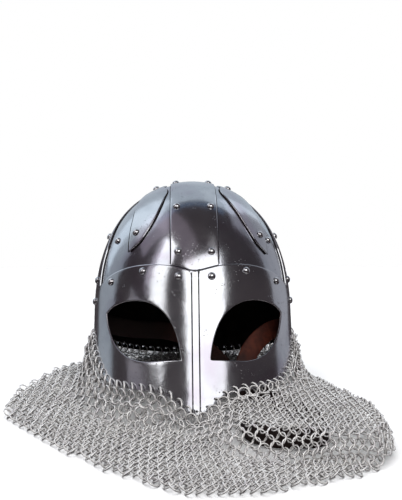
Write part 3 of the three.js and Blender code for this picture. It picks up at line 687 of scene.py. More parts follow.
def cutPlate(name, outer, holes, spines, liftAt):
    # A plate over the skull inside one loop and outside others, its edges rounded
    bevel = maskPlan["bevel"]
    points, drops, links = [], [], []

    def addLoop(loop, drop, closed=True):
        first = sum(len(part) for part in points)
        points.append(loop)
        drops.append(np.full(len(loop), float(drop)))
        count = len(loop)
        links.extend((first + k, first + (k + 1) % count) for k in range(count - (not closed)))

    for loop in (outer, *holes):
        addLoop(loop, 1)
        addLoop(insetLoop(loop, edgePlan["near"] * bevel), edgePlan["nearDrop"])
        addLoop(insetLoop(loop, edgePlan["far"] * bevel), 0)
    for spine in spines:
        addLoop(spine, 0, False)
    low, high = outer.min(0), outer.max(0)
    step = maskPlan["grid"]
    grid = np.stack(np.meshgrid(np.arange(low[0], high[0], step),
                                np.arange(low[1], high[1], step * maskPlan["rowShare"])), -1)
    grid[1::2, :, 0] += step / 2  # every other row half a step on
    grid = grid.reshape(-1, 2)
    fixed = np.concatenate(points)
    clear = np.array([np.min((fixed[:, 0] - x) ** 2 + (fixed[:, 1] - y) ** 2)
                      > maskPlan["room"] ** 2 for x, y in grid])
    room = clear & insideLoop(grid, outer)
    for hole in holes:
        room &= ~insideLoop(grid, hole)
    points.append(grid[room])
    drops.append(np.zeros(int(room.sum())))
    given, givenDrop = np.concatenate(points), np.concatenate(drops)
    corners, _, faces, source, _, _ = geometry.delaunay_2d_cdt(
        [Vector(point) for point in given], links, [], 0, 1e-5)
    flat = np.array([tuple(corner) for corner in corners])
    drop = bevel * np.array([max((givenDrop[k] for k in group), default=0) for group in source])
    triangles = np.array(faces)
    middle = flat[triangles].mean(1)
    keep = insideLoop(middle, outer)
    for hole in holes:
        keep &= ~insideLoop(middle, hole)
    triangles = triangles[keep]
    a, b, c = (flat[triangles[:, k]] for k in range(3))
    area = (b[:, 0] - a[:, 0]) * (c[:, 1] - a[:, 1]) - (b[:, 1] - a[:, 1]) * (c[:, 0] - a[:, 0])
    triangles[area < 0] = triangles[area < 0][:, ::-1]
    triangles = triangles[np.abs(area) > 1e-7]
    base, normals = skullAt(fromArc(flat[:, 0]), flat[:, 1])
    top = base + normals * (form["high"] - drop + liftAt(base))[:, None]
    under = base + normals * form["low"]
    count = len(flat)
    edges = [(triangle[k], triangle[(k + 1) % 3]) for triangle in triangles for k in range(3)]
    known = set(edges)
    walls = [(i, j) for i, j in edges if (j, i) not in known]
    faces = [tuple(t) for t in triangles] + [tuple(t[::-1] + count) for t in triangles]
    faces += [(j, i, i + count, j + count) for i, j in walls]
    used = sorted({k for face in faces for k in face})
    index = {old: new for new, old in enumerate(used)}
    both = np.concatenate([top, under])[used]
    side = np.concatenate([np.where(drop > 0.9 * bevel, 0.3, 0), np.ones(count)])[used]
    faces = [tuple(index[k] for k in face) for face in faces]
    return newPiece(name, stand(both), faces, plateSteel, side=side)


def maskOutline():  # along the rim's lower edge and back along the brow
    azimuth = np.linspace(-seamAzimuth, seamAzimuth, 241)
    bottom = np.stack([toArc(azimuth), holeHeight(azimuth) - form["rimMargin"]], 1)
    top = np.stack([toArc(azimuth[::-1]), browTop(azimuth[::-1])], 1)
    return evenLoop(np.concatenate([bottom, top]), maskPlan["step"], maskPlan["corner"])


def ribLift(base):  # how far the rib rises over the mask
    x = np.abs(base[:, 0])
    across = np.interp(x, [maskPlan["ribTop"], maskPlan["ribHalf"]], [1, 0])
    front = base[:, 1] < 0
    return maskPlan["ribHeight"] * across * front


def ribSpines():  # the lines along the rib's top, flanks and feet
    half = [maskPlan["ribTop"], maskPlan["ribHalf"], maskPlan["ribFoot"]]
    height = np.arange(-form["chin"] + 1.0, browTop(np.zeros(1))[0] - 1.0, maskPlan["ribStep"])
    spines = []
    for x in (*[-reach for reach in half[::-1]], 0, *half):
        turn = math.degrees(math.asin(x / form["halfWidth"]))
        spines.append(np.stack([np.full(len(height), toArc(turn)), height], 1))
    return spines


def clockwise(loop):  # the way round that a hole's edge needs
    after = np.roll(loop, -1, 0)
    area = np.sum(loop[:, 0] * after[:, 1] - loop[:, 1] * after[:, 0])
    return loop if area < 0 else loop[::-1]


eyeStep = maskPlan["step"] * eyePlan["step"]
eyes = [clockwise(evenLoop(eyeLoop(side), eyeStep, eyePlan["corner"])) for side in (1, -1)]
maskPiece = cutPlate("face_mask_plate", maskOutline(), eyes, ribSpines(), ribLift)


def napeAt(along, across):
    start = seamAzimuth + math.degrees(form["seam"] / form["halfWidth"])
    azimuth = start + (360 - 2 * start) * across
    height = np.interp(along, [0, 1], [-form["rimMargin"], form["brow"]])
    return skullAt(azimuth, height)


napeRows, napeColumns = 14, 110
napePiece = plate("nape_band_plate", napeAt, napeRows, napeColumns)


class Shaping(Nodes):
    # A geometry tree with named inputs, ending in real geometry with its material
    def __init__(self, name, inputs):
        tree = bpy.data.node_groups.new(name, "GeometryNodeTree")
        super().__init__(tree)
        tree.interface.new_socket("Geometry", in_out="INPUT", socket_type="NodeSocketGeometry")
        for key in inputs:
            kind = "NodeSocketObject" if key == "Cutters" else "NodeSocketFloat"
            tree.interface.new_socket(key, in_out="INPUT", socket_type=kind)
        tree.interface.new_socket("Geometry", in_out="OUTPUT", socket_type="NodeSocketGeometry")
        self.entry = self.make("NodeGroupInput")

    def end(self, geometryFlow, material):
        real = self.make("GeometryNodeRealizeInstances", {}, {"Geometry": geometryFlow})
        dressed = self.make("GeometryNodeSetMaterial", {}, {
            "Geometry": real, "Material": material})
        self.make("NodeGroupOutput", {}, {"Geometry": dressed})
        return self.tree


def shaped(name, source, tree, values):
    # The tree run on a source mesh with its inputs set, kept as a plain mesh
    modifier = source.modifiers.new("shape", "NODES")
    modifier.node_group = tree
    for item in tree.interface.items_tree:
        if item.in_out == "INPUT" and item.name in values:
            modifier[item.identifier] = values[item.name]
    bpy.context.view_layer.update()
    graph = bpy.context.evaluated_depsgraph_get()
    mesh = bpy.data.meshes.new_from_object(source.evaluated_get(graph))
    source.modifiers.remove(modifier)
    made = bpy.data.objects.new(name, mesh)
    bpy.context.scene.collection.objects.link(made)
    bpy.data.objects.remove(source)
    return made


def markers(name, points, facings, sizes=None):  # points that carry a direction and a size
    mesh = bpy.data.meshes.new(name)
    mesh.from_pydata([tuple(point) for point in points], [], [])
    facing = mesh.attributes.new("facing", "FLOAT_VECTOR", "POINT")
    facing.data.foreach_set("vector", np.asarray(facings, float).ravel())
    size = mesh.attributes.new("size", "FLOAT", "POINT")
    size.data.foreach_set("value", np.ones(len(points)) if sizes is None else sizes)
    made = bpy.data.objects.new(name, mesh)
    bpy.context.scene.collection.objects.link(made)
    return made


def onMarkers(nodes, points, instance):  # the instance on each point, turned and sized by it
    facing = nodes.make("GeometryNodeInputNamedAttribute", {"data_type": "FLOAT_VECTOR"},
                        {"Name": "facing"})
    size = nodes.make("GeometryNodeInputNamedAttribute", {"data_type": "FLOAT"},
                      {"Name": "size"})
    turned = nodes.make("FunctionNodeAlignRotationToVector", {"axis": "Z"}, {"Vector": facing})
    return nodes.make("GeometryNodeInstanceOnPoints", {}, {
        "Points": points, "Instance": instance, "Rotation": turned, "Scale": size})


holePlan = {"radius": 1.3, "depth": 14.0, "sides": 12}


def punchTree():
    nodes = Shaping("punched_holes", ["Hole Radius", "Depth", "Cutters"])
    drill = nodes.make("GeometryNodeMeshCylinder", {"fill_type": "NGON"}, {
        "Vertices": holePlan["sides"], "Radius": nodes.entry.out("Hole Radius"),
        "Depth": nodes.entry.out("Depth")})
    places = nodes.make("GeometryNodeObjectInfo", {}, {
        "Object": nodes.entry.out("Cutters")}, "Geometry")
    drills = nodes.make("GeometryNodeRealizeInstances", {}, {
        "Geometry": onMarkers(nodes, places, drill)})
    cut = nodes.make("GeometryNodeMeshBoolean", {"operation": "DIFFERENCE", "solver": "EXACT"},
                     {0: nodes.entry, 1: drills})
    return nodes.end(cut, plateSteel)


allHoles = np.concatenate([halfHoles, -halfHoles[1:-1]])
holePoints, holeNormals = skullAt(allHoles, holeHeight(allHoles))
holeWorld = stand(holePoints + holeNormals * form["high"])
holeFacing = holeNormals @ leaning.T
punch = punchTree()


def punched(piece, chosen):
    cutters = markers("cutters", holeWorld[chosen], holeFacing[chosen])
    name = piece.name
    piece.name = "unpunched"
    made = shaped(name, piece, punch, {
        "Hole Radius": holePlan["radius"] * millimetre,
        "Depth": holePlan["depth"] * millimetre, "Cutters": cutters})
    bpy.data.objects.remove(cutters)
    made.data.shade_smooth()
    made.data.set_sharp_from_angle(angle=math.radians(sharpAngle))
    return darkInside(made)


inFront = np.abs(allHoles) < seamAzimuth
maskPiece = punched(maskPiece, inFront)
napePiece = punched(napePiece, ~inFront)
print("holes punched:", len(allHoles))

rivetPlan = {"radius": 3.75, "height": 2.6, "taper": 0.06, "segments": 20, "rings": 14,
             "core": (0, 25, 75), "sink": 0.1, "base": 0.2, "sharp": 60.0}


def rivetTree():
    nodes = Shaping("domed_rivets", ["Radius", "Height"])
    ball = nodes.make("GeometryNodeMeshUVSphere", {}, {
        "Segments": rivetPlan["segments"], "Rings": rivetPlan["rings"], "Radius": 1.0})
    parts = nodes.make("ShaderNodeSeparateXYZ", {}, {
        "Vector": nodes.make("GeometryNodeInputPosition")})
    x, y, z = parts.out("X"), parts.out("Y"), parts.out("Z")
    rise = nodes.maths("MAXIMUM", z, 0.0)
    radius, height = nodes.entry.out("Radius"), nodes.entry.out("Height")
    wide = radius * (1 - rivetPlan["taper"] * rise)
    spot = nodes.make("ShaderNodeCombineXYZ", {}, {
        "X": x * wide, "Y": y * wide, "Z": rise * height})
    dome = nodes.make("GeometryNodeSetPosition", {}, {"Geometry": ball, "Position": spot})
    dome = nodes.make("GeometryNodeMergeByDistance", {}, {"Geometry": dome, "Distance": 0.00002})
    return nodes.end(onMarkers(nodes, nodes.entry, dome), rivetSteel)


def rivetSpots():  # each rivet's foot and direction, read from its solid
    places, facings = [], []
    for name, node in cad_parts.items():
        if not name.startswith("rivet"):
            continue
        corners = np.array([tuple(vertex.co) for vertex in node.data.vertices])
        corners = np.unique(corners.round(6), axis=0)
        middle = (corners.max(0) + corners.min(0)) / 2
        centred = corners - corners.mean(0)
        _, _, axes = np.linalg.svd(centred, full_matrices=False)
        facing = axes[2]
        outward = middle - laid(rivetPlan["core"])
        facing = facing if facing @ outward > 0 else -facing
        depth = corners @ facing
        base = corners[depth < depth.min() + rivetPlan["base"] * millimetre].mean(0)
        places.append(base - facing * rivetPlan["sink"] * millimetre)
        facings.append(facing)
    return np.array(places), np.array(facings)


rivetPlaces, rivetFacings = rivetSpots()
rivets = shaped("rivet_heads", markers("rivet_spots", rivetPlaces, rivetFacings), rivetTree(), {
    "Radius": rivetPlan["radius"] * millimetre, "Height": rivetPlan["height"] * millimetre})
rivets.data.shade_smooth()
rivets.data.set_sharp_from_angle(angle=math.radians(rivetPlan["sharp"]))
print("rivets set:", len(rivetPlaces))

strapPlan = {"width": 19.0, "thickness": 2.5, "lift": 0.4, "anchor": 100.0, "lead": 9.0,
             "height": 15.0, "steps": 260, "corner": 1.1, "cornerEdge": 0.35, "cornerDrop": 0.72,
             "inner": 0.45, "sharp": 50}
# Each station: x and y as shares of the skull's half width and half length, height in strap
# widths, then how far the strap's width points up and across
strapRoute = np.array([
    (0.9, -0.2, 3.5, 1, 0), (0.71, -0.35, 3.25, 0.75, -0.5), (0.57, -0.45, 2.65, 0.5, -0.85),
    (0.47, -0.58, 1.75, 0.5, -0.85), (0.42, -0.78, 0.85, 0.9, -0.45), (0.41, -1.02, 0.53, 1, 0),
    (0.4, -1.3, 0.53, 1, 0), (0.43, -1.49, 0.53, 1, 0), (0.56, -1.61, 0.53, 1, 0),
    (0.8, -1.66, 0.53, 1, 0), (1.02, -1.62, 0.53, 1, 0), (1.1, -1.46, 0.53, 1, 0),
    (1.0, -1.2, 0.53, 1, 0), (0.77, -0.85, 0.53, 1, 0), (0.52, -0.5, 0.6, 1, 0),
    (0.38, -0.27, 1.0, 1, 0.1), (0.22, -0.11, 1.65, 1, 0.2), (0.04, 0.02, 2.25, 1, 0.3),
    (-0.25, 0.06, 2.8, 1, 0.2), (-0.64, -0.06, 3.15, 1, 0.15), (-0.91, -0.13, 3.6, 1, 0.1)])


def smoothWay(points, along):  # the curve through the points with centripetal spacing
    ends = np.concatenate([[2 * points[0] - points[1]], points, [2 * points[-1] - points[-2]]])
    spot = along * (len(points) - 1)
    row = np.minimum(np.floor(spot).astype(int), len(points) - 2)
    t = (spot - row)[:, None]
    p0, p1, p2, p3 = (ends[row + k] for k in range(4))
    d0, d1, d2 = (np.linalg.norm(b - a, axis=1, keepdims=True) ** 0.5 + 1e-9
                  for a, b in ((p0, p1), (p1, p2), (p2, p3)))
    m1 = ((p1 - p0) / d0 - (p2 - p0) / (d0 + d1) + (p2 - p1) / d1) * d1
    m2 = ((p2 - p1) / d1 - (p3 - p1) / (d1 + d2) + (p3 - p2) / d2) * d1
    return ((2 * t ** 3 - 3 * t ** 2 + 1) * p1 + (t ** 3 - 2 * t ** 2 + t) * m1
            + (3 * t ** 2 - 2 * t ** 3) * p2 + (t ** 3 - t ** 2) * m2)


def strapPiece():
    inside = -form["wall"] - 2 * form["low"] - strapPlan["thickness"] / 2

    def anchor(side, azimuth):
        point, normal = skullAt(side * azimuth, strapPlan["height"])
        return (point + normal * inside) @ leaning.T + [0, 0, place[2]]

    far, near = strapPlan["anchor"], strapPlan["anchor"] - strapPlan["lead"]
    sizes = np.array([form["halfWidth"], form["halfLength"], strapPlan["width"]])
    middle = strapRoute[:, :3] * sizes + [0, 0, strapPlan["lift"]]
    stations = np.array([anchor(1, far), anchor(1, near), *middle,
                         anchor(-1, near), anchor(-1, far)])
    leans = np.vstack([[(1, 0)] * 2, strapRoute[:, 3:], [(1, 0)] * 2])
    steps = np.linspace(0, 1, strapPlan["steps"])
    way = smoothWay(stations, steps)
    tangent = np.gradient(way, axis=0)
    tangent /= np.linalg.norm(tangent, axis=1, keepdims=True)
    spot = steps * (len(stations) - 1)
    up, across = (np.interp(spot, np.arange(len(stations)), leans[:, k]) for k in (0, 1))
    width = np.stack([across, 0 * up, up], 1)
    width -= tangent * (width * tangent).sum(1, keepdims=True)
    width /= np.linalg.norm(width, axis=1, keepdims=True)
    thick = np.cross(tangent, width)
    half, depth = strapPlan["width"] / 2, strapPlan["thickness"] / 2
    flat, edge = half - strapPlan["corner"], half - strapPlan["cornerEdge"]
    slant, inner = depth * strapPlan["cornerDrop"], half * strapPlan["inner"]
    section = [(flat, depth), (edge, slant), (half, 0), (edge, -slant), (flat, -depth),
               (inner, -depth), (0, -depth), (-inner, -depth)]
    section += [(-x, -y) for x, y in section]
    rings = [way + width * x + thick * y for x, y in section]
    points = np.stack(rings, 1).reshape(-1, 3)
    count = len(section)
    faces = [[a * count + b, a * count + (b + 1) % count, (a + 1) * count + (b + 1) % count,
              (a + 1) * count + b] for a in range(len(way) - 1) for b in range(count)]
    faces += [list(range(count)), list(range(len(way) * count - 1, (len(way) - 1) * count - 1, -1))]
    return newPiece("chin_strap_leather", laid(points), faces, strapLeather,
                    strapPlan["sharp"])


strap = strapPiece()
print("strap laid")

print("laying the mail")
# Lengths in millimetres and angles in degrees. Reach counts rings from the weave's middle to its
# side, drifts are the sizes of its slow waves, and rise and fall bound how steep a row can hang
mailPlan = {"wireRadius": 0.75, "ringRadius": 5.15, "hoopSides": 14, "wireSides": 4,
            "rowPitch": 10.7, "rowStep": 3.95, "reach": 46, "drifts": (70, 38), "drift": 0.02,
            "relax": 120, "relaxPace": 1.3, "lean": 10.0, "turn": -90.0, "sink": 0.7,
            "jitter": 4.0, "sizeJitter": 0.012, "rimClear": 24.0, "bulkClear": 3.5,
            "hang": 4.6, "hangStep": 5.6, "hangTilt": 30.0, "hangRows": 3, "hangOut": 1.2,
            "hangOver": 1.2, "firstTurn": 48.0, "firstJitter": 5.0, "firstRadius": 5.5,
            "firstWire": 0.9, "tuckLow": 0.5, "tuckHigh": 0.95, "tuckHeight": 1.5,
            "tuckWave": 1.0, "tuckWaves": (0.13, 0.09), "hollow": 90.0, "cell": 3.0,
            "margin": 4, "spreadRounds": 60, "smoothRounds": 2, "covered": 0.98, "pace": 0.5,
            "rise": -0.3, "fall": 3.2,
            "spacings": [4.0, 6.0, 8.0], "tilts": [34, 24, 10]}
# Where the mail is pulled open: x, y and reach in millimetres from the rim's centre, and how much
openSpots = [(45, -212, 30, 0.9), (95, -185, 45, 0.35), (-95, -120, 60, 0.2)]
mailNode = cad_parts["mail_curtain"]
mailTree = BVHTree.FromPolygons([vertex.co for vertex in mailNode.data.vertices],
                                [tuple(face.vertices) for face in mailNode.data.polygons])
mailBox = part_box("mail_curtain")
cell = mailPlan["cell"] * millimetre
margin = mailPlan["margin"] * cell
gridX = np.arange(mailBox[0][0] - margin, mailBox[1][0] + margin, cell)
gridY = np.arange(mailBox[0][1] - margin, mailBox[1][1] + margin, cell)
heights = np.full((len(gridX), len(gridY)), np.nan)
for i, x in enumerate(gridX):
    for j, y in enumerate(gridY):
        hit = mailTree.ray_cast(Vector((x, y, 0.3)), Vector((0, 0, -1)))[0]
        if hit:
            heights[i, j] = hit.z
onMail = ~np.isnan(heights)
centreWorld = np.array([place[0], place[1]]) * millimetre
distance = np.hypot(gridX[:, None] - centreWorld[0], gridY[None] - centreWorld[1])


def spread(field, known, rounds):  # fills the unknown cells from their neighbours
    field = np.where(known, field, 0.0)
    weight = known.astype(float)
    for _ in range(rounds):
        total, count = np.zeros_like(field), np.zeros_like(field)
        for di, dj in ((0, 1), (0, -1), (1, 0), (-1, 0)):
            total += np.roll(field * weight, (di, dj), (0, 1))
            count += np.roll(weight, (di, dj), (0, 1))
        fresh = (weight == 0) & (count > 0)
        field[fresh] = total[fresh] / count[fresh]
        weight[fresh] = 1
    return field


ground = spread(heights, onMail, mailPlan["spreadRounds"])
for _ in range(mailPlan["smoothRounds"]):
    ground = (4 * ground + sum(np.roll(ground, shift, axis)
                               for shift in (1, -1) for axis in (0, 1))) / 8


def sampleGrid(field, points):  # the field's values under the points
    u = np.clip((points[:, 0] - gridX[0]) / cell, 0, len(gridX) - 1.001)
    v = np.clip((points[:, 1] - gridY[0]) / cell, 0, len(gridY) - 1.001)
    i, j = u.astype(int), v.astype(int)
    a, b = u - i, v - j
    return ((1 - a) * (1 - b) * field[i, j] + a * (1 - b) * field[i + 1, j]
            + (1 - a) * b * field[i, j + 1] + a * b * field[i + 1, j + 1])


def surfaceNormal(points):  # the mail surface's normals at the points
    step = np.array([[cell, 0], [0, cell]])
    slope = [(sampleGrid(ground, points[:, :2] + s) - sampleGrid(ground, points[:, :2] - s))
             / (2 * cell) for s in step]
    normal = np.stack([-slope[0], -slope[1], np.ones(len(points))], 1)
    return normal / np.linalg.norm(normal, axis=1, keepdims=True)


def latticeRings():
    # Rows of rings relaxed over the mail surface, and the rings pushed under the rim
    pitch, step = mailPlan["rowPitch"] * millimetre, mailPlan["rowStep"] * millimetre

    def opened(spots):  # how much wider than at rest the rows lie here
        gain = np.ones(len(spots))
        for x, y, reach, more in openSpots:
            gap = (spots - centreWorld) / millimetre - [x, y]
            gain += more * np.exp(-(gap ** 2).sum(1) / reach ** 2)
        return gain

    turn = math.radians(mailPlan["turn"])
    along = np.array([math.cos(turn), math.sin(turn)])
    down = np.array([math.sin(turn), -math.cos(turn)])
    half = mailPlan["reach"]
    rows, columns = np.meshgrid(np.arange(-2 * half, 2 * half + 1), np.arange(-half, half + 1),
                                indexing="ij")
    flat = (along * ((columns + 0.5 * (rows % 2)) * pitch)[..., None]
            + down * (rows * step)[..., None]).reshape(-1, 2) + centreWorld
    rng = np.random.default_rng(seed)
    drift = np.zeros_like(flat)
    for scale in mailPlan["drifts"]:
        for axis in (0, 1):
            phase = rng.uniform(0, 6.28, 3)
            way = rng.normal(size=(3, 2)) / (scale * millimetre)
            waves = sum(np.sin(flat @ way[k] + phase[k]) for k in range(3))
            drift[:, axis] += waves * (mailPlan["drift"] * scale * millimetre)
    flat = flat + drift
    height, wide = rows.shape
    index = np.arange(height * wide).reshape(height, wide)
    pairs, lengths = [], []
    pairs.append(np.stack([index[:, :-1], index[:, 1:]], -1).reshape(-1, 2))
    lengths.append(np.full((len(pairs[-1]), 2), (pitch, 0)))
    for row in range(height - 1):
        odd = row % 2
        same = np.stack([index[row], index[row + 1]], -1)
        beside = (np.stack([index[row, :-1], index[row + 1, 1:]], -1) if odd
                  else np.stack([index[row, 1:], index[row + 1, :-1]], -1))
        for group in (same, beside):
            pairs.append(group)
            lengths.append(np.full((len(group), 2), (pitch / 2, step)))
    pairs.append(np.stack([index[:-2], index[2:]], -1).reshape(-1, 2))
    lengths.append(np.full((len(pairs[-1]), 2), (0, 2 * step)))
    pairs, lengths = np.concatenate(pairs), np.concatenate(lengths)
    a, b = pairs.T
    lengths = np.hypot(lengths[:, 0], lengths[:, 1] * opened((flat[a] + flat[b]) / 2))
    weight = np.bincount(pairs.ravel(), minlength=len(flat))[:, None]
    for _ in range(mailPlan["relax"]):
        full = np.column_stack([flat, sampleGrid(ground, flat)])
        gap = full[b] - full[a]
        length = np.linalg.norm(gap, axis=1, keepdims=True)
        move = gap[:, :2] * (0.5 * (length - lengths[:, None]) / length)
        push = np.zeros_like(flat)
        np.add.at(push, a, move)
        np.add.at(push, b, -move)
        flat = flat + mailPlan["relaxPace"] * push / weight
    rowWay = np.zeros((height, wide, 3))
    full = np.column_stack([flat, sampleGrid(ground, flat)]).reshape(height, wide, 3)
    rowWay[:, 1:-1] = full[:, 2:] - full[:, :-2]
    rowWay[:, 0], rowWay[:, -1] = rowWay[:, 1], rowWay[:, -2]
    spacing = np.full((height, wide), mailPlan["spacings"][0])
    spacing[1:-1] = np.linalg.norm(np.cross(
        full[2:] - full[:-2],
        rowWay[1:-1] / (np.linalg.norm(rowWay[1:-1], axis=-1, keepdims=True) + 1e-9)),
        axis=-1) / (2 * millimetre)
    tilt = np.interp(spacing, mailPlan["spacings"], mailPlan["tilts"]).ravel()
    inside = sampleGrid(onMail.astype(float), flat) > mailPlan["covered"]
    full = full.reshape(-1, 3)
    toHelmet = (full / millimetre - place) @ leaning
    azimuth = np.degrees(np.arctan2(toHelmet[:, 0] / form["halfWidth"],
                                    -toHelmet[:, 1] / form["halfLength"]))
    rim, rimNormal = skullAt(azimuth, holeHeight(azimuth))
    rimWorld = stand(rim + rimNormal * form["high"])
    away = np.linalg.norm(full - rimWorld, axis=1) / millimetre
    bulk = np.hypot(toHelmet[:, 0] / (form["halfWidth"] + mailPlan["bulkClear"]),
                    toHelmet[:, 1] / (form["halfLength"] + mailPlan["bulkClear"]))
    outside = ((away > mailPlan["rimClear"]) & ((bulk > 1)
             | (toHelmet[:, 2] < holeHeight(azimuth) - mailPlan["rimClear"])))
    backed = sampleGrid(shrunk(onMail), flat) > 0.5
    keep = inside & outside & backed
    parity = (rows % 2).ravel()
    # Rings pushed under the back of the rim, seen through the eyes
    under = flat - centreWorld
    reach = np.hypot(under[:, 0] / form["halfWidth"], under[:, 1] / form["halfLength"]) / millimetre
    tucked = (reach > mailPlan["tuckLow"]) & (reach < mailPlan["tuckHigh"]) & (under[:, 1] > 0)
    lying = full[tucked]
    ripple = 1 + np.sin((lying[:, :2] / millimetre * mailPlan["tuckWaves"]).sum(1))
    lying[:, 2] = (mailPlan["tuckHeight"] + mailPlan["tuckWave"] * ripple) * millimetre
    return ((full[keep], rowWay.reshape(-1, 3)[keep], parity[keep], tilt[keep]),
            (lying, rowWay.reshape(-1, 3)[tucked] * [1, 1, 0], parity[tucked], tilt[tucked]))


def shrunk(known):  # the grid's mail without its outermost cells, whole under the helmet
    field = np.where(distance < mailPlan["hollow"] * millimetre, 1.0, known.astype(float))
    return np.minimum.reduce([np.roll(field, shift, axis)
                              for shift in (1, -1) for axis in (0, 1)])


def hangingRings():
    # Rows that follow the holes: the first ring through each hole, the next ones between
    every, ways, parities = [], [], []
    halves = np.concatenate([-halfHoles[1:-1][::-1], halfHoles])
    for row in range(1, mailPlan["hangRows"] + 1):
        azimuth = halves if row % 2 == 0 else (halves + np.roll(halves, -1)) / 2
        if row % 2:
            azimuth[-1] = (halves[-1] + halves[0] + 360) / 2
        point, normal = skullAt(azimuth, holeHeight(azimuth))
        start = stand(point + normal * (form["high"] + mailPlan["hangOut"]))
        outward = (normal @ leaning.T)[:, :2]
        outward /= np.linalg.norm(outward, axis=1, keepdims=True)
        spot = start[:, :2].copy()
        height = start[:, 2].copy()
        left = mailPlan["hang"] + row * mailPlan["hangStep"]
        advance, pace = 0.0, mailPlan["pace"]
        while advance < left:  # a step outward, and down as far as the mail there and its slope let
            ahead = spot + outward * pace * millimetre
            fall = height - sampleGrid(ground, ahead) + mailPlan["hangOver"] * millimetre
            drop = np.clip(fall / (pace * millimetre), mailPlan["rise"], mailPlan["fall"])
            stride = pace * millimetre / np.sqrt(1 + drop ** 2)
            spot = spot + outward * stride[:, None]
            height = height - drop * stride
            advance += pace
        full = np.column_stack([spot, height])
        way = np.roll(full, -1, 0) - np.roll(full, 1, 0)
        every.append(full)
        ways.append(way)
        parities.append(np.full(len(full), row % 2))
    count = sum(len(part) for part in every)
    return (np.concatenate(every), np.concatenate(ways), np.concatenate(parities),
            np.full(count, mailPlan["hangTilt"]))


def firstRings():
    # One ring through each hole, round the rim's edge, turned so that it shows its bow
    point, normal = skullAt(allHoles, holeHeight(allHoles))
    middle = point + normal * (form["low"] + form["high"]) / 2
    along = np.cross(normal, [0, 0, 1.0])
    along /= np.linalg.norm(along, axis=1, keepdims=True)
    down = np.cross(normal, along)
    down *= -np.sign(down[:, 2:])
    centres = stand(middle + down * mailPlan["hang"])
    jitter = rng.normal(0, mailPlan["firstJitter"], len(point))
    turn = np.radians(mailPlan["firstTurn"] + jitter)[:, None]
    facing = (along * np.cos(turn) + normal * np.sin(turn)) @ leaning.T
    return centres, facing


def ringFacings(points, ways, parity, tilt, flat):
    # Each ring leans against its neighbours in the next row, the one way and the other by turns
    normal = np.tile([0, 0, 1.0], (len(points), 1)) if flat else surfaceNormal(points)
    ways = ways / np.linalg.norm(ways, axis=1, keepdims=True)
    ways = ways - normal * (ways * normal).sum(1, keepdims=True)
    ways /= np.linalg.norm(ways, axis=1, keepdims=True)
    hand = np.where(parity == 0, 1, -1)
    angle = np.radians(tilt * hand + rng.normal(0, mailPlan["jitter"], len(points)))
    down = np.cross(normal, ways)
    facing = normal * np.cos(angle)[:, None] + down * np.sin(angle)[:, None]
    facing += ways * np.radians(mailPlan["lean"] * hand
                                + rng.normal(0, mailPlan["jitter"], len(points)))[:, None]
    return normal, facing / np.linalg.norm(facing, axis=1, keepdims=True)


def ringTree():
    nodes = Shaping("linked_rings", ["Ring Radius", "Wire Radius"])
    hoop = nodes.make("GeometryNodeCurvePrimitiveCircle", {}, {
        "Resolution": mailPlan["hoopSides"], "Radius": nodes.entry.out("Ring Radius")})
    wire = nodes.make("GeometryNodeCurvePrimitiveCircle", {}, {
        "Resolution": mailPlan["wireSides"], "Radius": nodes.entry.out("Wire Radius")})
    ring = nodes.make("GeometryNodeCurveToMesh", {}, {"Curve": hoop, "Profile Curve": wire})
    return nodes.end(onMarkers(nodes, nodes.entry, ring), mailSteel)


rng = np.random.default_rng(seed)
linked = ringTree()
ringSizes = {"Ring Radius": mailPlan["ringRadius"] * millimetre,
             "Wire Radius": mailPlan["wireRadius"] * millimetre}
firstSizes = {"Ring Radius": mailPlan["firstRadius"] * millimetre,
              "Wire Radius": mailPlan["firstWire"] * millimetre}
meshRings, tuckedRings = latticeRings()
rimRings = hangingRings()
mailPieces = []


def addRings(name, points, ways, parity, tilt, flat=False):
    normal, facing = ringFacings(points, ways, parity, tilt, flat)
    placeRings(name, points - normal * mailPlan["sink"] * millimetre, facing)


def placeRings(name, centres, facing, ringSize=ringSizes):
    facing = facing / np.linalg.norm(facing, axis=1, keepdims=True)
    floorRoom = mailPlan["wireRadius"] + mailPlan["ringRadius"] * np.sqrt(
        np.maximum(0, 1 - facing[:, 2] ** 2))
    centres[:, 2] = np.maximum(centres[:, 2], floorRoom * millimetre)
    sizes = 1 + rng.normal(0, mailPlan["sizeJitter"], len(centres))
    made = shaped(name, markers(name + "_spots", centres, facing, sizes), linked, ringSize)
    made.data.shade_smooth()
    mailPieces.append(made)
    print(name, len(centres), "rings", len(made.data.polygons), "faces")


points, ways, parity, tilts = meshRings
bearing = np.degrees(np.arctan2(points[:, 0] - centreWorld[0], centreWorld[1] - points[:, 1]))
for name, low, high in (("mail_front_right", -40, -12), ("mail_front_middle", -12, 15),
                        ("mail_front_left", 15, 42), ("mail_left", 42, 95),
                        ("mail_back", 95, 265), ("mail_right", -95, -40)):
    chosen = ((bearing - low) % 360) < high - low
    addRings(name, points[chosen], ways[chosen], parity[chosen], tilts[chosen])
addRings("mail_rim", *rimRings)
addRings("mail_tucked", *tuckedRings, True)
placeRings("mail_first_row", *firstRings(), firstSizes)

# Each piece by the name of the node that it stands for
pieces = {"skull": skullShell, "face_mask": maskPiece, "nape_band": napePiece,
          "chin_strap": strap, **plates}
for node, piece in pieces.items():
    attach(piece, "root")
    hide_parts(node)
    "leather" if node == "chin_strap" else "polished_steel"
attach(rivets, "root")
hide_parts(*[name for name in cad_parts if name.startswith("rivet")])
for piece in shadowStripPieces:
    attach(piece, "root")
for piece in mailPieces:
    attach(piece, "root")
    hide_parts("mail_curtain")

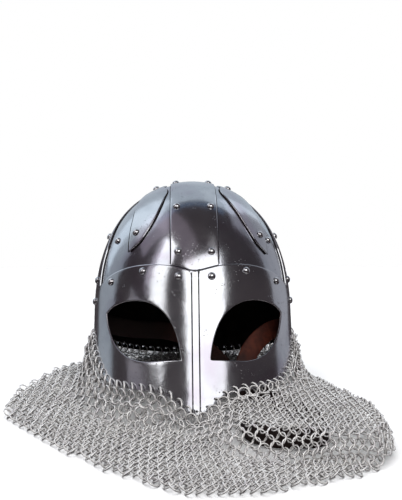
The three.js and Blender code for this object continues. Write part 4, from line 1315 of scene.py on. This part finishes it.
# The camera's place in millimetres, x and y from the rim centre and z from the surface, the
# direction that it looks in, and both turned round the rim centre by some degrees
cameraPlan = {"stand": (0.0, -825.28, 259.11), "look": (0.010478, 0.990148, -0.139635),
              "turn": -1.3, "lens": 57.1, "sensor": 36, "near": 0.05, "far": 50}
stagePlan = {"half": 0.8, "colour": (0.93, 0.93, 0.93, 1), "roughness": 0.9,
             "centre": (0.0, -0.05, 0.1), "shown": (1.0, 1.0, 1.0), "around": (0.055, 0.046, 0.05)}
skyColour = (0.78, 0.9, 1.0)
# Each soft box: its turn and rise, width and height in degrees, its glow and its colour
lightPlan = {
    "left_window": (-53, 42, 17, 37, 1.7, (1, 1, 1)),
    "left_soft": (-67, 42, 9, 34, 0.55, (0.95, 0.88, 1.0)),
    "right_window": (17, 38.5, 48, 33, 1.85, (1, 1, 1)),
    "right_soft": (47, 46, 9, 34, 0.24, (1, 1, 1)),
    "floor_light": (180, 86, 60, 60, 2.9, (1, 1, 1)),
    "overhead": (-60, 72, 50, 20, 0.13, (0.95, 0.8, 0.95)),
    "left_wall": (-103, 50, 26, 30, 0.26, (0.95, 0.85, 1.0)),
    "low_left": (-76, 10, 26, 13, 0.24, (0.97, 0.92, 1.0)),
    "blue_rim": (-172, 72, 60, 7, 0.16, (0.35, 0.62, 1.0)),
    "sky_back": (-172, 35, 82, 64, 0.6, skyColour),
    "sky_left": (-128, 22, 34, 68, 0.38, skyColour),
    "sky_right": (130, 18, 34, 64, 0.34, (0.85, 0.9, 1.0)),
}
unmirrored = ["floor_light"]  # lights that the steel doesn't mirror
lightAway = 3.0  # metres from the stage's centre to each soft box


def addCamera():
    turn = math.radians(cameraPlan["turn"])
    spin = np.array([[math.cos(turn), -math.sin(turn), 0],
                     [math.sin(turn), math.cos(turn), 0], [0, 0, 1]])
    spot = laid(spin @ np.array(cameraPlan["stand"]))
    look = spin @ np.array(cameraPlan["look"])
    data = bpy.data.cameras.new("photo_camera")
    data.sensor_width = cameraPlan["sensor"]
    data.lens = cameraPlan["lens"]
    data.clip_start, data.clip_end = cameraPlan["near"], cameraPlan["far"]
    camera = bpy.data.objects.new("photo_camera", data)
    camera.location = spot
    camera.rotation_euler = Vector(look).to_track_quat("-Z", "Y").to_euler()
    bpy.context.scene.collection.objects.link(camera)
    bpy.context.scene.camera = camera


def addFloor():
    half = stagePlan["half"]
    mesh = bpy.data.meshes.new("floor")
    mesh.from_pydata([(-half, -half, 0), (half, -half, 0), (half, half, 0), (-half, half, 0)], [],
                     [(0, 1, 2, 3)])
    made = bpy.data.objects.new("floor", mesh)
    bpy.context.scene.collection.objects.link(made)
    made.visible_glossy = False
    material, nodes = newMaterial("pale_floor")
    principled(nodes, {"Base Color": stagePlan["colour"], "Roughness": stagePlan["roughness"]}, {})
    mesh.materials.append(material)


def addWorld():  # white behind the object for the camera, dim round it for everything else
    world = bpy.data.worlds.new("studio")
    world.use_nodes = True
    bpy.context.scene.world = world
    world.node_tree.nodes.clear()
    nodes = Nodes(world.node_tree)
    seen = nodes.make("ShaderNodeLightPath", output="Is Camera Ray")
    colour = nodes.colours(seen, stagePlan["around"], stagePlan["shown"])
    nodes.make("ShaderNodeOutputWorld", {}, {"Surface": nodes.make(
        "ShaderNodeBackground", {}, {"Color": colour, "Strength": 1.0})})


def addLight(name, turn, rise, width, height, glow, colour):
    # A soft box seen from the helmet at these angles, its glow a radiance
    size = [2 * lightAway * math.tan(math.radians(angle) / 2) for angle in (width, height)]
    data = bpy.data.lights.new(name, "AREA")
    data.shape, data.size, data.size_y = "RECTANGLE", *size
    data.energy, data.color = glow * math.pi * size[0] * size[1], colour
    a, b = math.radians(turn), math.radians(rise)
    ahead = Vector((math.sin(a) * math.cos(b), -math.cos(a) * math.cos(b), math.sin(b)))
    made = bpy.data.objects.new(name, data)
    made.location = Vector(stagePlan["centre"]) + ahead * lightAway
    made.rotation_euler = (-ahead).to_track_quat("-Z", "Y").to_euler()
    made.visible_glossy = name not in unmirrored
    bpy.context.scene.collection.objects.link(made)


print("setting the camera, the floor and the lights")
addCamera()
addFloor()
addWorld()
for name, panel in lightPlan.items():
    addLight(name, *panel)
bpy.context.scene.view_settings.view_transform = "Standard"
